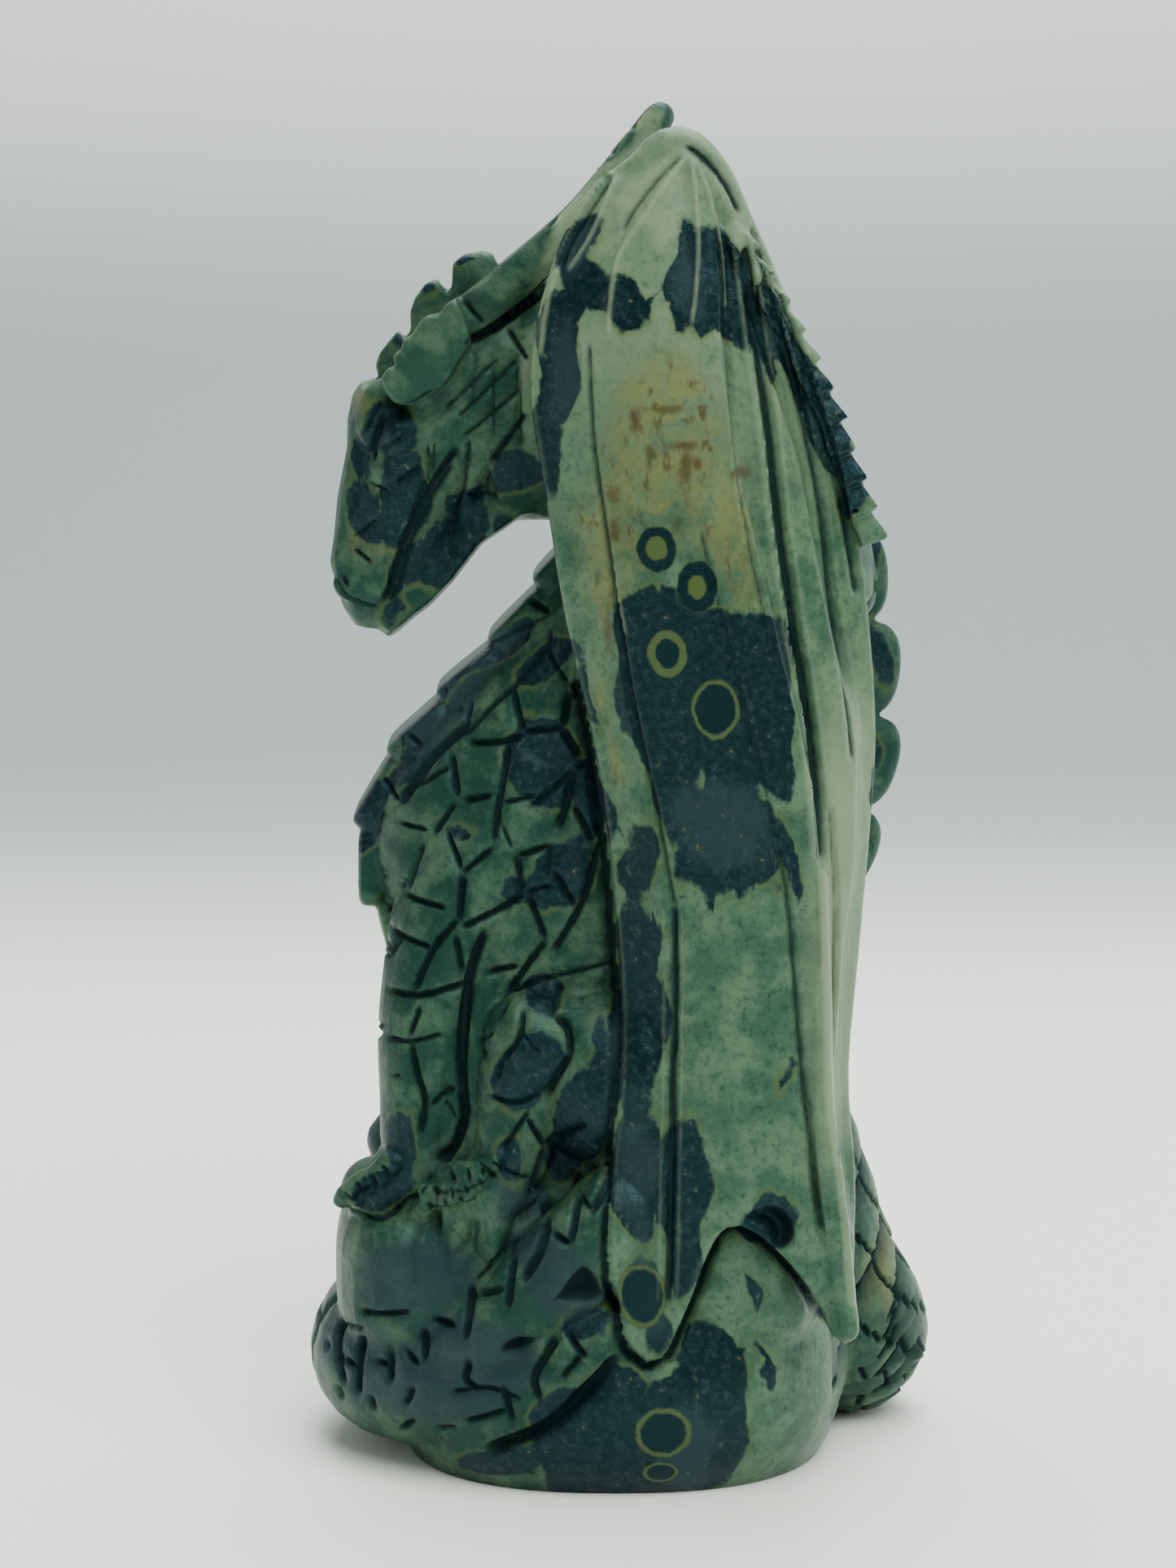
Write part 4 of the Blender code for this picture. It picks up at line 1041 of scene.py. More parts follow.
def head():
    """Neck, head, muzzle, crest, fins behind the cheeks, horns and the swellings of the face."""
    pieces = [
        midline_loft("neck", NECK, 44, 48),
        midline_loft("head", HEAD, 44, 48),
        side_plate("crest", CREST_LINE, CREST_SECTIONS, FRILL_ROOT),
        side_plate("muzzle", HEAD_LINE, MUZZLE_SECTIONS, MUZZLE_ROOT),
    ]
    for x, z, length, rise in CREST:
        size = (length, CREST_THICKNESS / 2, rise)
        pieces.append(rounded_block("crest", size, (x, 0, z), turn=CREST_TURN, power=CREST_POWER))
    for side in SIDES:
        sections = [(-depth * side, share) for depth, share in FRILL_SECTIONS]
        pieces.append(side_plate("frill", FRILL_LINE, sections, FRILL_ROOT))
        pieces.append(limb("horn", HORN, side, steps=30, sides=6))
        for name, size, place, turn in FACE:
            pieces.append(rounded_block(name, size, place, turn=turn, side=side))
    return pieces


def body():
    """Torso, rock, tail, legs and hind toes."""
    pieces = [
        column("torso", TORSO, 52, 72, squareness=TORSO_SQUARENESS),
        column("rock", ROCK, 52, 72),
        rounded_block("pedestal", PEDESTAL_SIZE, PEDESTAL_PLACE, power=PEDESTAL_POWER),
        rounded_block("tail corner", TAIL_CORNER_SIZE, TAIL_CORNER_PLACE, TAIL_CORNER_TURN,
                      power=TAIL_CORNER_POWER),
        limb("tail", TAIL, steps=90, sides=9),
        limb("tail band", TAIL_BAND, steps=30, sides=9),
    ]
    for side, shift, toe_shift in ((1, 0, TOE_SHIFT), (-1, FAR_PAW, FAR_TOE_SHIFT)):
        x, y, z = PAW_PLACE
        pieces.append(rounded_block("paw", PAW_SIZE, (x + shift, y, z), side=side))
        for name, rows in (("foreleg", FORELEG), ("thigh", THIGH), ("shin", SHIN), ("calf", CALF)):
            pieces.append(limb(name, rows, side, steps=30, sides=9))
        for toe in HIND_TOES:
            pieces.append(limb("toe", np.array(toe) + toe_shift, side, steps=12, sides=5))
    return pieces


def fused(obj, voxel, rounds):
    """One skin round all the shells."""
    fuse = obj.modifiers.new("fuse", "REMESH")
    fuse.mode = "VOXEL"
    fuse.voxel_size = voxel
    soften = obj.modifiers.new("soften", "SMOOTH")
    soften.factor = 0.5
    soften.iterations = rounds
    return evaluated(obj)


def in_chunks(task, points, size=40000):
    """A task on many points, done a part at a time to spare memory."""
    return np.concatenate([task(points[i : i + size]) for i in range(0, len(points), size)])


def line_depth(side_view, line, width, lip=0.0):
    """0 away from a line, and up to 1 on it; the ends run out softly as a disc leaves them."""
    path = smooth_path(line, max(8, 6 * len(line)))
    middle = (path.min(0) + path.max(0)) / 2
    near = np.all(np.abs(side_view - middle) < np.ptp(path, axis=0) / 2 + width, axis=1)
    points = side_view[near]
    best = np.full(len(points), 1e9)
    place = np.zeros(len(points))
    for i, (a, b) in enumerate(zip(path[:-1], path[1:])):
        run = b - a
        share = np.clip(((points - a) @ run) / max(run @ run, 1e-9), 0, 1)
        gap = np.linalg.norm(points - a - share[:, None] * run, axis=1)
        closer = gap < best
        place[closer] = (i + share[closer]) / (len(path) - 1)
        best = np.minimum(best, gap)
    length = np.linalg.norm(np.diff(path, axis=0), axis=1).sum()
    end = np.minimum(place, 1 - place) * length
    run_out = np.clip(0.35 + end / max(width, 1e-6), 0, 1)
    depth = np.zeros(len(side_view))
    shape = np.clip(1 - best / (width / 2), 0, 1) ** 0.8
    rim = np.clip(1 - np.abs(best - width * 0.85) / (width * 0.45), 0, 1) * (lip > 0)
    depth[near] = (shape - lip * rim) * run_out
    return depth


def strokes(line, step, reach):
    """Short cuts across a line, a step apart, as pairs of (x, z)."""
    path = smooth_path(line, 60)
    runs = np.diff(path, axis=0)
    lengths = np.linalg.norm(runs, axis=1)
    places = np.concatenate([[0], np.cumsum(lengths)])
    found = []
    for place in np.arange(step / 2, places[-1], step):
        i = min(np.searchsorted(places, place), len(runs)) - 1
        across = np.array((-runs[i][1], runs[i][0])) / lengths[i] * reach
        found.append([tuple(path[i] - across), tuple(path[i] + across)])
    return found


def outline_gap(side_view, outline, count=40):
    """Distance of each point from an outline, less than 0 inside it."""
    path = np.array(smooth_path(list(outline) + [outline[0]], count))
    x, z = side_view.T
    odd = np.zeros(len(side_view), bool)
    gap = np.full(len(side_view), 1e9)
    for (x0, z0), (x1, z1) in zip(path[:-1], path[1:]):
        crosses = ((z0 > z) != (z1 > z)) & (x < (x1 - x0) * (z - z0) / (z1 - z0 + 1e-12) + x0)
        odd ^= crosses
        run = np.array((x1 - x0, z1 - z0))
        share = np.clip(((side_view - (x0, z0)) @ run) / max(run @ run, 1e-9), 0, 1)
        gap = np.minimum(gap, np.linalg.norm(side_view - (x0, z0) - share[:, None] * run, axis=1))
    return np.where(odd, -gap, gap)


def deepened(depth, side_view, cuts, where, widening=CUT_WIDENING, share=1.0):
    """A depth, or that of the cuts where they go deeper; each is as deep as it is wide."""
    for width, line in cuts:
        wide = width * widening
        depth = np.maximum(depth, line_depth(side_view, line, wide) * wide * share * where)
    return depth


def tail_lozenges(lay):
    """Depth of the sheared net of the tail's rear bend, each lozenge leaning out at one end."""
    net = lay[:, :2] / TAIL_SCALE
    net[:, 0] += 0.5 * net[:, 1]
    share = net - np.floor(net)
    edge = np.minimum(share, 1 - share).min(1) * TAIL_SCALE
    line = np.clip(1 - edge / TAIL_LINE_REACH, 0, 1) * TAIL_LINE_DEPTH
    return line + (1 - share[:, 0]) * TAIL_SCALE_TILT


def disc_cuts(points, normals, lay):
    """Depth of the disc's cuts, in figure units, with the raised ribs of the wing below 0."""
    side_view = points[:, [0, 2]]
    x, y, z = points.T
    outside = np.abs(y)
    left = y < 0
    facing = np.clip(np.abs(normals[:, 1]) * 2.2 - 0.1, 0, 1) * (y * normals[:, 1] > 0)
    wing_gap = outline_gap(side_view, wing_outline(), 140)
    wing = on_wing(points) & (wing_gap < 0.5)
    body_facing = facing * ~wing
    bead_cuts = []
    for line, _, _ in BEAD_ROWS:
        bead_cuts += [(BEAD_CUT_WIDTH, cut) for cut in strokes(line, BEAD_CUT_STEP, BEAD_CUT_REACH)]
    depth = np.zeros(len(points))
    for cuts, where, share in (
        (NECK_CUTS + FACE_CUTS, outside > 1.0, 1.0),
        (CHEST_CUTS, outside > 0.0, 1.0),
        (FLANK_CUTS, z > FLANK_BOTTOM, 1.0),
        (LEG_CUTS, outside > LEG_DEPTH, 1.0),
        (FOLD_CUTS, outside > LEG_DEPTH, FOLD_SHARE),
        (bead_cuts, outside > PAW_DEPTH, 1.0),
    ):
        depth = deepened(depth, side_view, cuts, where * body_facing, share=share)
    tail_side = left & (x < TAIL_FRONT_END)
    depth = deepened(depth, side_view, TAIL_CUTS, tail_side * body_facing, TAIL_CUT_WIDENING)
    for outline in HOLLOWS:
        sunk = np.clip(-outline_gap(side_view, outline) * HOLLOW_SLOPE, 0, HOLLOW_DEPTH)
        depth = np.maximum(depth, sunk * facing * left)
    below_edge = np.clip(wing_gap - UNDERCUT_START, 0, None) / UNDERCUT_REACH
    low, high = UNDERCUT_HEIGHTS
    beside_wing = (wing_gap > UNDERCUT_START) & (outside > UNDERCUT_INNER) & (x < UNDERCUT_BACK)
    beside_wing &= (z > low) & (z < high)
    under = UNDERCUT_DEPTH * np.clip(1 - below_edge, 0, 1) * beside_wing
    depth = np.maximum(depth, under * facing)
    rear_tail = (x > REAR_TAIL_START) & (z < TAIL_TOP) & ~wing & (outside < REAR_TAIL_DEPTH)
    depth = np.maximum(depth, tail_lozenges(lay) * rear_tail)
    wing_facing = facing * wing
    rim = np.clip(1 - np.abs(wing_gap + RIM_INSET) / RIM_WIDTH, 0, 1)
    ridge = rim * RIM_RISE * wing_facing * (x < RIM_BACK)
    for width, line in WING_LINES:
        cut = line_depth(side_view, line, width, WING_LINE_LIP) * width * WING_LINE_SHARE * wing_facing
        depth = np.maximum(depth, cut)
        ridge = np.minimum(ridge, cut)
    for width, line in WING_RIDGES:
        rise = line_depth(side_view, line, width) * width * RIDGE_SHARE
        ridge = np.minimum(ridge, rise * wing_facing)
    return np.where(depth > 0, depth, ridge)


def satin_share(points, rough):
    """How satin the stone is, from 0 for polished to 1 for scaly."""
    x, y, z = points.T
    calm = ~on_wing(points)
    satin = np.maximum(rough, HEAD_SATIN * (calm & (z > HEAD_BOTTOM) & (x < HEAD_BACK)))
    legs = calm * (z < LEG_TOP) * np.clip((4 - x) / 14, 0, 1)
    satin = np.maximum(satin, legs * np.where(z < FOOT_TOP, FOOT_SATIN, LEG_SATIN))
    satin = np.maximum(satin, calm & (x > SPINE_START) & (np.abs(y) < SPINE_DEPTH))
    rear_tail = (x > REAR_START) & (z < TAIL_TOP)
    satin = np.where(rear_tail, np.minimum(satin, TAIL_SATIN), satin)
    low, high = CHEST_HEIGHTS
    chest = calm & (x < line_at(CHEST, z) + 5) & (z > low) & (z < high)
    return np.maximum(satin, chest)


def read_vectors(mesh, name):
    """The places ("co") or the normals ("normal") of the vertices."""
    values = np.empty(len(mesh.vertices) * 3, np.float32)
    mesh.vertices.foreach_get(name, values)
    return values.reshape(-1, 3).astype(float)


def keep_mark(mesh, name, values):
    """Keeps a number or a vector for each vertex."""
    kind, field = ("FLOAT", "value") if values.ndim == 1 else ("FLOAT_VECTOR", "vector")
    layer = mesh.attributes.new(name, kind, "POINT")
    layer.data.foreach_set(field, values.astype(np.float32).ravel())


def skin_marks(mesh):
    """Attributes that the carving reads: the unrolled skin, where it is scaly, and the disc's cuts."""
    points = read_vectors(mesh, "co") / UNIT
    normals = read_vectors(mesh, "normal")
    x, y, z = points.T
    lay = np.zeros((len(points), 3))
    lay[:, :2] = in_chunks(skin, points)
    rough = in_chunks(scaly, points)
    turned_away = 1 - np.clip(np.abs(normals[:, 1]) * 3.2 - 0.9, 0, 1)
    cut_by_hand = (z > FLANK_BOTTOM) & (x < REAR_START)
    on_tail = ((y < -6) | (x > REAR_START)) & (z < TAIL_TOP)
    keep_mark(mesh, "lay", lay)
    keep_mark(mesh, "scaly", rough * np.where(cut_by_hand, turned_away, 1.0) * ~on_tail)
    keep_mark(mesh, "satin", satin_share(points, rough))
    keep_mark(mesh, "cut", disc_cuts(points, normals, lay))


def thinned(obj, triangles):
    """The mesh of an object with no more than this many triangles."""
    mesh = obj.data
    mesh.calc_loop_triangles()
    thin = obj.modifiers.new("thin out", "DECIMATE")
    thin.ratio = min(1.0, triangles / len(mesh.loop_triangles))
    return evaluated(obj)


def loose_verts(work):
    """The vertices of every shell but the largest."""
    left = set(work.verts)
    shells = []
    while left:
        start = left.pop()
        shell = [start]
        reached = [start]
        while reached:
            vert = reached.pop()
            for edge in vert.link_edges:
                other = edge.other_vert(vert)
                if other in left:
                    left.remove(other)
                    shell.append(other)
                    reached.append(other)
        shells.append(shell)
    shells.sort(key=len)
    return [vert for shell in shells[:-1] for vert in shell]


def flat_underside(mesh):
    """Clears the crumbs of shell left inside the stone, cuts it flat at the floor and closes it."""
    work = bmesh.new()
    work.from_mesh(mesh)
    bmesh.ops.delete(work, geom=loose_verts(work), context="VERTS")
    everything = work.verts[:] + work.edges[:] + work.faces[:]
    cut = bmesh.ops.bisect_plane(
        work, geom=everything, dist=1e-7, plane_co=(0, 0, 0), plane_no=(0, 0, -1), clear_outer=True,
    )
    rim = [item for item in cut["geom_cut"] if isinstance(item, bmesh.types.BMEdge)]
    bmesh.ops.holes_fill(work, edges=rim, sides=0)
    bmesh.ops.triangulate(work, faces=work.faces[:])
    bmesh.ops.recalc_face_normals(work, faces=work.faces)
    settled(work, mesh)


def fitted(mesh):
    """Draws the mesh in by a hair where it would pass the solid's own box."""
    low, high = (np.array(corner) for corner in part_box("dragon"))
    points = read_vectors(mesh, "co")
    least = points.min(0)
    most = points.max(0)
    goal_low = np.maximum(low, least)
    goal_high = np.minimum(high, most)
    points = goal_low + (points - least) * (goal_high - goal_low) / (most - least)
    mesh.vertices.foreach_set("co", points.astype(np.float32).ravel())
    mesh.update()


def ellipsoid_gap(points, spots):
    """Distance from each point to ellipsoids run together, less than 0 inside."""
    field = np.full(len(points), 99.0)
    for (x, y, z), (half_x, half_y, half_z), turn in spots:
        right = points[:, 0] - x
        up = points[:, 2] - z
        u = (right * math.cos(turn) - up * math.sin(turn)) / half_x
        v = (points[:, 1] - y) / half_y
        w = (right * math.sin(turn) + up * math.cos(turn)) / half_z
        gap = (np.sqrt(u * u + v * v + w * w) - 1) * (half_x + half_z) / 2
        near = np.clip(BLEND - np.abs(field - gap), 0, None) / BLEND
        field = np.minimum(field, gap) - near * near * BLEND / 4
    return field


def folded(points):
    """The points as the stone's figure sees them: the far side has the near one's, shifted and bent."""
    x, y, z = points.T
    bend = [
        sum(math.sqrt(wave) * 0.16 * np.sin(2 * math.pi * (a * x + b * y + c * z) / wave + turn)
            for wave, a, b, c, turn in ((26, *axis), (15, *axis[::-1]), (9, *axis)))
        for axis in ((0.3, 0.2, 0.9, 1.1), (0.8, 0.5, 0.3, 2.3), (0.7, 0.4, 0.6, 0.4))
    ]
    far = np.clip((y + 3) / 10, 0, 1)
    return np.column_stack([x + bend[0] + 5 * far, -np.abs(y), z + bend[2] - 9 * far])


def figure_marks(mesh):
    """Attributes for the stone's figure and its painted reflection: how far off the dark blotches, the
    clouds and the grey spots are.
    """
    points = folded(read_vectors(mesh, "co") / UNIT)
    dark = ellipsoid_gap(points, WING_DARKS)
    dark = np.minimum(dark, ellipsoid_gap(points, BODY_DARKS))
    dark = np.minimum(dark, ellipsoid_gap(points, FACE_DARKS))
    keep_mark(mesh, "dark", np.maximum(dark, -ellipsoid_gap(points, LIGHT_GAPS)))
    keep_mark(mesh, "cloud", ellipsoid_gap(points, TAN_CLOUDS))
    keep_mark(mesh, "grey", ellipsoid_gap(points, PAINTED_SHEEN_SPOTS))


class Jasper:
    """Lays down the figure of green orbed jasper in layers that share their noises and marks."""

    def __init__(self, tree, colours):
        self.tree = tree
        self.maker = Maker(tree)
        self.colours = colours
        self.place = self.maker.scaled(self.maker.node("ShaderNodeTexCoord").out("Object"), 1.0 / UNIT)
        broad = self.maker.vector("SUBTRACT", self.maker.noise(self.place, 0.11, 3, out=1), (0.5, 0.5, 0.5))
        self.warped = self.maker.vector("ADD", self.place, self.maker.scaled(broad, 5.0))
        self.marble = self.maker.noise(self.warped, 0.2, 7, 0.62)
        self.mottle = self.maker.noise(self.place, 1.1, 6, 0.7)
        self.grain = self.maker.noise(self.place, 4.5, 3, 0.6)
        self.satin = self.mark("satin")

    def mark(self, name):
        """A value that the mesh keeps for each vertex."""
        return self.maker.node("ShaderNodeAttribute", {"attribute_name": name}).out("Fac")

    def lay(self, share, colour):
        """Covers a share of the ground with a colour."""
        self.ground = self.maker.mix(share, self.ground, colour)

    def spot(self, middle, half):
        """How many radii a place is from the middle of a spot on the left wing's face."""
        away = self.maker.vector("SUBTRACT", self.place, middle)
        share = self.maker.vector("MULTIPLY", away, tuple(1 / size for size in half))
        return self.maker.vector("LENGTH", share, out=1)

    def marbling(self):
        """Sage and leaf green with deep mottling, pale veins, grey painted reflection on the satin parts,
        painted light on the wing top and a painted highlight down its rear strip.
        """
        colours = self.colours
        marble = self.marble
        self.ground = self.maker.mix(marble.step(0.36, 0.62), colours.pale, colours.leaf)
        self.lay(self.mottle.step(0.47, 0.72) * 0.7, colours.deep)
        self.lay(self.satin * (0.42 + marble.step(0.35, 0.6) * 0.42), colours.deep)
        self.grey = self.mark("grey").step(1.5, -1.5)
        # Painted reflection: grey laid on the dark satin parts within the grey spots
        self.lay(self.grey * self.satin * 0.85, colours.painted_sheen)
        vein = (marble - 0.47).math("ABSOLUTE").step(0.012, 0.0) * 0.35
        self.lay((vein + self.grain.step(0.55, 0.75) * 0.25) * (1.0 - self.satin * 0.8), colours.pale)
        place = self.maker.node("ShaderNodeSeparateXYZ", None, {0: self.warped})
        # Painted light and painted highlight: the wing's top is laid paler as if lit from above, and a strip
        # before its rear edge is laid paler as a glare.
        strip = place.out("X").step(20.0, 25.0) * place.out("Z").step(36.0, 50.0)
        strip = strip * place.out("Z").step(108.0, 84.0)
        top = place.out("Z").step(112.0, 150.0) * (marble.step(0.36, 0.62) * 0.45 + 0.15)
        self.lay((top + strip * 0.6) * (1.0 - self.satin), colours.painted_highlight)

    def tan_clouds(self):
        """Tan clouds on the wing, with rust and deep green along their grain and rust specks."""
        colours = self.colours
        self.edge = (self.maker.noise(self.place, 0.8, 4, 0.55) - 0.5) * 2.2
        self.clouds = self.mark("cloud").step(2.0, -2.5)
        patchy = self.maker.noise(self.warped, 0.3, 6, 0.72).step(0.3, 0.62)
        self.lay(self.clouds * patchy * 0.7, colours.tan)
        long_grain = self.maker.vector("MULTIPLY", self.warped, (1.0, 1.0, 0.4))
        self.streak = self.maker.noise(long_grain, 0.7, 6, 0.68)
        self.lay(self.clouds * self.streak.step(0.53, 0.68) * 0.7, colours.rust)
        self.lay(self.clouds * self.streak.step(0.4, 0.3) * 0.5, colours.deep)
        for middle, half, _ in RUST_SPECKS:
            radius = self.spot(middle, half) + self.edge * 0.9
            self.lay(radius.step(1.7, 0.2) * 0.7, colours.rust)

    def dark_figure(self):
        """Blue black blotches with thin olive rims, grey painted reflection inside and tan crumbs."""
        colours = self.colours
        dark = self.mark("dark") + self.edge * 0.65
        self.lay(dark.step(1.2, 0.35) * self.marble.step(0.42, 0.58) * 0.5, colours.olive)
        # Painted reflection: the blotches turn grey within the grey spots and where the mottling is high
        share = self.grey * 0.85 + self.mottle.step(0.42, 0.66) * 0.7
        night = self.maker.mix(share, colours.night, colours.painted_sheen)
        crumbs = self.mottle.step(0.61, 0.69) * self.marble.step(0.4, 0.55) * 0.55
        night = self.maker.mix(crumbs, night, colours.tan)
        self.lay(dark.step(0.42, -0.15), night)

    def orbs(self):
        """Dark rings round an olive eye, or pale rings round a dark one."""
        colours = self.colours
        for middle, half, _, ring, pale_ring in ORBS:
            radius = self.spot(middle, half) + self.edge * 0.13
            eye = radius.step(1.08, 0.94)
            band, heart = (colours.olive, colours.night) if pale_ring else (colours.night, colours.moss)
            self.lay(eye, heart)
            self.lay(radius.step(0.9 - ring, 1.02 - ring) * eye * (0.75 if pale_ring else 1.0), band)

    def finish(self, shader):
        """Painted shade and grime in the cuts, hollows and undercut, and painted highlights on the raised
        ridges, then the polish and the relief, into the shader.
        """
        cavity = self.mark("cavity")
        # Painted shade: cuts, hollows and the undercut below the wing are laid darker the deeper they go,
        # with grime in the cuts.
        self.lay(cavity.step(0.1, 0.7) * 0.95, self.colours.cut_shade_and_dirt)
        # Painted highlight: raised ridges, lips and the wing's rim are laid paler.
        self.lay(cavity.step(-0.08, -0.45) * 0.42, self.colours.painted_highlight)
        polish = 0.17 + self.satin * 0.2 + cavity.step(0.0, 0.5) * 0.3 + (self.grain - 0.5) * 0.08
        relief = self.mottle * 0.8 + self.grain * 0.5
        relief = relief + self.satin * self.maker.noise(self.place, 0.8, 3) * 1.5
        relief = relief + (self.clouds * 3.0 + 1.5) * self.streak
        values = {"Strength": 0.35, "Distance": 0.0003, "Height": relief}
        bump = self.maker.node("ShaderNodeBump", None, values)
        for name, wire in (("Base Color", self.ground), ("Roughness", polish), ("Normal", bump)):
            self.tree.links.new(wire.socket, shader.inputs[name])


def jasper(colours):
    """Polished green orbed jasper."""
    material = bpy.data.materials.new("green_jasper")
    material.use_nodes = True
    shader = material.node_tree.nodes["Principled BSDF"]
    shader.inputs["Specular IOR Level"].default_value = 0.2
    shader.inputs["Specular Tint"].default_value = (0.45, 0.9, 1.0, 1.0)
    stone = Jasper(material.node_tree, colours)
    stone.marbling()
    stone.tan_clouds()
    stone.dark_figure()
    stone.orbs()
    stone.finish(shader)
    return material


class JasperColours(bpy.types.PropertyGroup):
    """Colours of the stone."""

    def tone(name, about, default):
        return bpy.props.FloatVectorProperty(
            name=name, description=about, default=(*default, 1.0), size=4, min=0.0, max=1.0, subtype="COLOR",
        )

    pale: tone("Pale", "Light sage of the ground", (0.079, 0.143, 0.08))
    # Painted highlight and painted light on the wing top, its rear strip and the raised ridges
    painted_highlight: tone("Painted highlight", "Pale top of the wing and its ridges", (0.25, 0.33, 0.2))
    leaf: tone("Leaf", "Green of the marbling", (0.034, 0.08, 0.046))
    deep: tone("Deep", "Deep green of the mottling and the scales", (0.004, 0.025, 0.016))
    olive: tone("Olive", "Thin rims round the dark figure", (0.075, 0.11, 0.03))
    moss: tone("Moss", "Eyes of the orbs", (0.06, 0.085, 0.02))
    tan: tone("Tan", "Clouds on the wing", (0.15, 0.155, 0.05))
    rust: tone("Rust", "Specks on the wing", (0.05, 0.024, 0.007))
    night: tone("Night", "Blue black of the blotches", (0.0015, 0.0095, 0.012))
    # Painted reflection on the dark stone
    painted_sheen: tone("Painted sheen", "Grey in the blotches", (0.014, 0.028, 0.032))
    # Painted shade in the cuts, hollows and undercut, with grime in the cuts
    cut_shade_and_dirt: tone("Cut shade and dirt", "What is left in the cuts", (0.0015, 0.007, 0.007))


class CarvingSizes(bpy.types.PropertyGroup):
    """Sizes of the fine carving."""

    grain: bpy.props.FloatProperty(
        name="Grain", description="Size of the grid that fuses the shells", default=0.00036, unit="LENGTH",
    )
    rounds: bpy.props.IntProperty(name="Rounds", description="Rounds of smoothing after fusing", default=3)
    triangles: bpy.props.IntProperty(name="Triangles", description="Triangles kept", default=196000)
    scale_size: bpy.props.FloatProperty(
        name="Scale size", description="Mean size of a scale", default=0.007, unit="LENGTH",
    )
    line_width: bpy.props.FloatProperty(
        name="Line width", description="Width of a line between scales", default=0.0013, unit="LENGTH",
    )
    line_depth: bpy.props.FloatProperty(
        name="Line depth", description="Depth of a line between scales", default=0.0008, unit="LENGTH",
    )


class StudioSettings(bpy.types.PropertyGroup):
    """Floor, lights and camera."""

    floor: bpy.props.FloatVectorProperty(
        name="Floor", description="Colour of the floor and the backdrop", default=(0.91, 0.96, 0.875, 1.0),
        size=4, min=0.0, max=1.0, subtype="COLOR",
    )
    key: bpy.props.FloatProperty(
        name="Key", description="Power of the main light", default=10.6, unit="POWER",
    )
    fill: bpy.props.FloatProperty(
        name="Fill", description="Power of the fill light", default=2.0, unit="POWER",
    )
    lens: bpy.props.FloatProperty(
        name="Lens", description="Focal length for the longer side of the frame",
        default=SENSOR * FOCAL_PIXELS / PICTURE_SIZE[1], unit="CAMERA",
    )
    tilt: bpy.props.FloatProperty(
        name="Tilt", description="How far the camera looks down", default=CAMERA_TILT, unit="ROTATION",
    )


class CARVING_OT_dragon(bpy.types.Operator):
    """Carve the dragon and its rock as one stone"""

    bl_idname = "carving.dragon"
    bl_label = "Carve the dragon"

    def execute(self, context):
        sizes = context.scene.carving_sizes
        stone = jasper(context.scene.jasper_colours)
        limbs = body()
        shapes = gathered(limbs + head() + ridge_rows(stone, limbs) + wings(stone))
        shells = placed("shells", settled(shapes, bpy.data.meshes.new("shells")))
        work = placed("fused", fused(shells, sizes.grain, sizes.rounds))
        bpy.data.objects.remove(shells)
        skin_marks(work.data)
        cut = grown(work, carving_tree(), {
            "Scale size": sizes.scale_size / UNIT, "Line width": sizes.line_width / UNIT,
            "Line depth": sizes.line_depth / UNIT, "Material": stone,
        })
        bpy.data.objects.remove(work)
        block = placed("block", cut)
        mesh = thinned(block, sizes.triangles)
        bpy.data.objects.remove(block)
        flat_underside(mesh)
        fitted(mesh)
        figure_marks(mesh)
        for name in ("lay", "scaly", "cut"):
            mesh.attributes.remove(mesh.attributes[name])
        mesh.materials.clear()
        mesh.materials.append(stone)
        mesh.shade_smooth()
        dragon = placed("dragon_carving", mesh)
        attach(dragon, "root")
        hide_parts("dragon")
        return {"FINISHED"}


class CARVING_OT_studio(bpy.types.Operator):
    """Set out the pale floor, the lights and the camera"""

    bl_idname = "carving.studio"
    bl_label = "Set out the studio"

    def execute(self, context):
        settings = context.scene.carving_studio
        backdrop(settings.floor)
        for name, place, size, power, colour in (
            ("key", (0.22, -0.42, 0.8), 0.8, settings.key, (1.0, 1.0, 0.98)),
            ("fill", (0.6, 0.2, 0.12), 0.5, settings.fill, (0.95, 0.98, 1.0)),
            ("left card", (-0.6, 0.15, 0.15), 0.4, settings.fill * 0.3, (0.97, 0.98, 1.0)),
            ("top", (0.0, 0.3, 0.9), 0.8, settings.key, (1.0, 1.0, 1.0)),
        ):
            area_light(name, place, size, power, colour)
        sky(context.scene)
        camera = bpy.data.cameras.new("camera")
        camera.lens = settings.lens
        camera.sensor_width = SENSOR
        camera.clip_start = 0.01
        holder = placed("camera", camera)
        holder.location = Vector(CAMERA_PLACE) * UNIT
        holder.rotation_euler = (math.pi / 2 - settings.tilt, 0, 0)
        context.scene.camera = holder
        return {"FINISHED"}


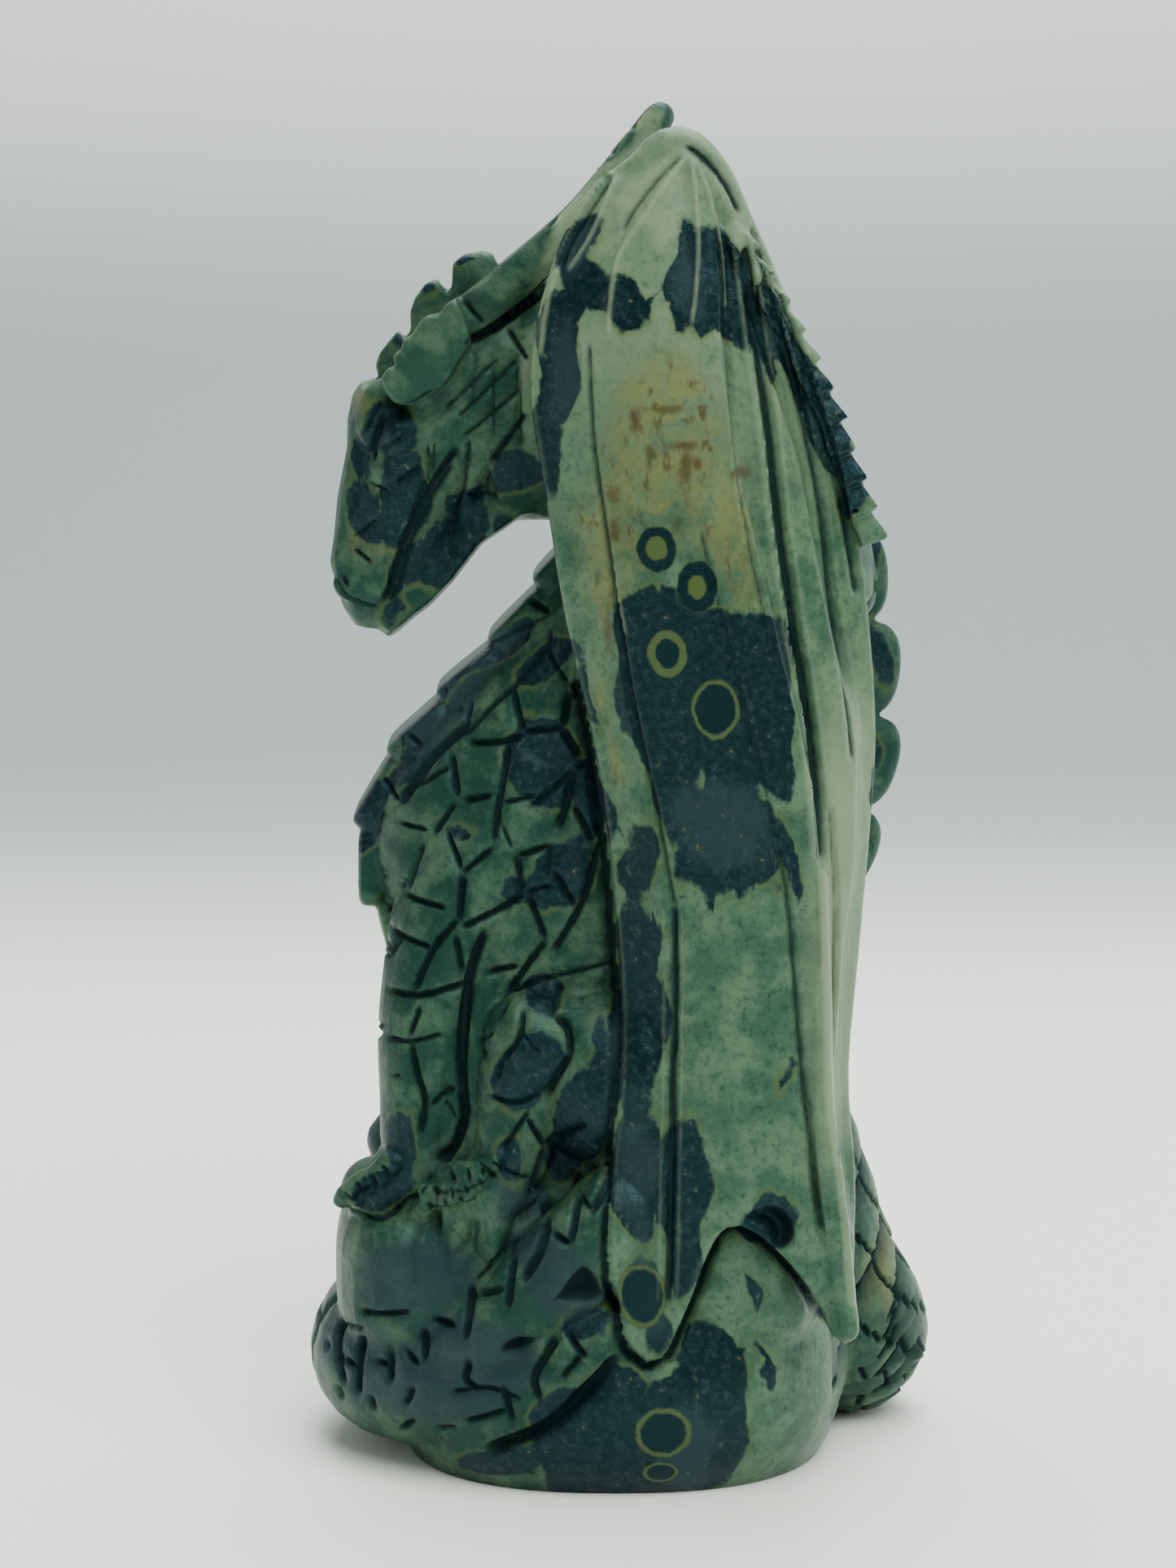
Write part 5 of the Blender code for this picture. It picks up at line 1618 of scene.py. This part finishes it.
def backdrop(colour):
    """A floor that sweeps up into a wall, seen from the front."""
    profile = [(FLOOR_FRONT, 0.0), (SWEEP_START, 0.0)]
    for angle in np.linspace(0, math.pi / 2, SWEEP_STEPS + 1)[1:]:
        run = SWEEP_START + SWEEP_RADIUS * math.sin(angle)
        profile.append((run, SWEEP_RADIUS - SWEEP_RADIUS * math.cos(angle)))
    profile.append((SWEEP_START + SWEEP_RADIUS, WALL_TOP))
    verts = [(x, y, z) for y, z in profile for x in (-FLOOR_REACH, FLOOR_REACH)]
    faces = [(2 * i, 2 * i + 1, 2 * i + 3, 2 * i + 2) for i in range(len(profile) - 1)]
    mesh = new_mesh("floor", verts, faces)
    mesh.shade_smooth()
    material = bpy.data.materials.new("pale_paper")
    material.use_nodes = True
    shader = material.node_tree.nodes["Principled BSDF"]
    maker = Maker(material.node_tree)
    place = maker.node("ShaderNodeSeparateXYZ", None, {0: maker.node("ShaderNodeTexCoord").out("Object")})
    # Painted shade: the sweep is laid darker in a band where the floor turns up into the wall, and paler
    # again higher up.
    along = place.out("Y") + place.out("Z")
    shaded = along.step(0.2, 0.5) - along.step(0.74, 1.0) * 0.65
    shade = maker.mix(shaded, tuple(colour), FLOOR_SHADE)
    material.node_tree.links.new(shade.socket, shader.inputs["Base Color"])
    shader.inputs["Roughness"].default_value = 0.85
    mesh.materials.append(material)
    return placed("floor", mesh)


def area_light(name, place, size, power, colour):
    """A round soft light that looks at the carving."""
    lamp = bpy.data.lights.new(name, "AREA")
    lamp.shape = "DISK"
    lamp.size = size
    lamp.energy = power
    lamp.color = colour
    holder = placed(name, lamp)
    holder.location = place
    aim = Vector(LIGHT_AIM) - Vector(place)
    holder.rotation_euler = aim.to_track_quat("-Z", "Y").to_euler()


def sky(scene):
    """An even soft light from all round."""
    world = bpy.data.worlds.new("soft room")
    world.use_nodes = True
    ground = world.node_tree.nodes["Background"]
    ground.inputs["Color"].default_value = SKY_COLOUR
    ground.inputs["Strength"].default_value = SKY_STRENGTH
    scene.world = world


class CARVING_PT_panel(bpy.types.Panel):
    """Steps and settings of the carving"""

    bl_label = "Winged dragon carving"
    bl_idname = "CARVING_PT_panel"
    bl_space_type = "VIEW_3D"
    bl_region_type = "UI"
    bl_category = "Carving"

    def draw(self, context):
        scene = context.scene
        for group in (scene.carving_sizes, scene.jasper_colours, scene.carving_studio):
            box = self.layout.box()
            for name in group.__annotations__:
                box.prop(group, name)
        for step in STEPS:
            self.layout.operator(step.bl_idname)


STEPS = (CARVING_OT_dragon, CARVING_OT_studio)
CLASSES = (JasperColours, CarvingSizes, StudioSettings, *STEPS, CARVING_PT_panel)


def register():
    for made in CLASSES:
        bpy.utils.register_class(made)
    bpy.types.Scene.jasper_colours = bpy.props.PointerProperty(type=JasperColours)
    bpy.types.Scene.carving_sizes = bpy.props.PointerProperty(type=CarvingSizes)
    bpy.types.Scene.carving_studio = bpy.props.PointerProperty(type=StudioSettings)


def unregister():
    del bpy.types.Scene.carving_studio
    del bpy.types.Scene.carving_sizes
    del bpy.types.Scene.jasper_colours
    for made in reversed(CLASSES):
        bpy.utils.unregister_class(made)


def main():
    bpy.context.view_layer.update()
    register()
    bpy.ops.carving.dragon()
    bpy.ops.carving.studio()


if __name__ == "__main__":
    main()
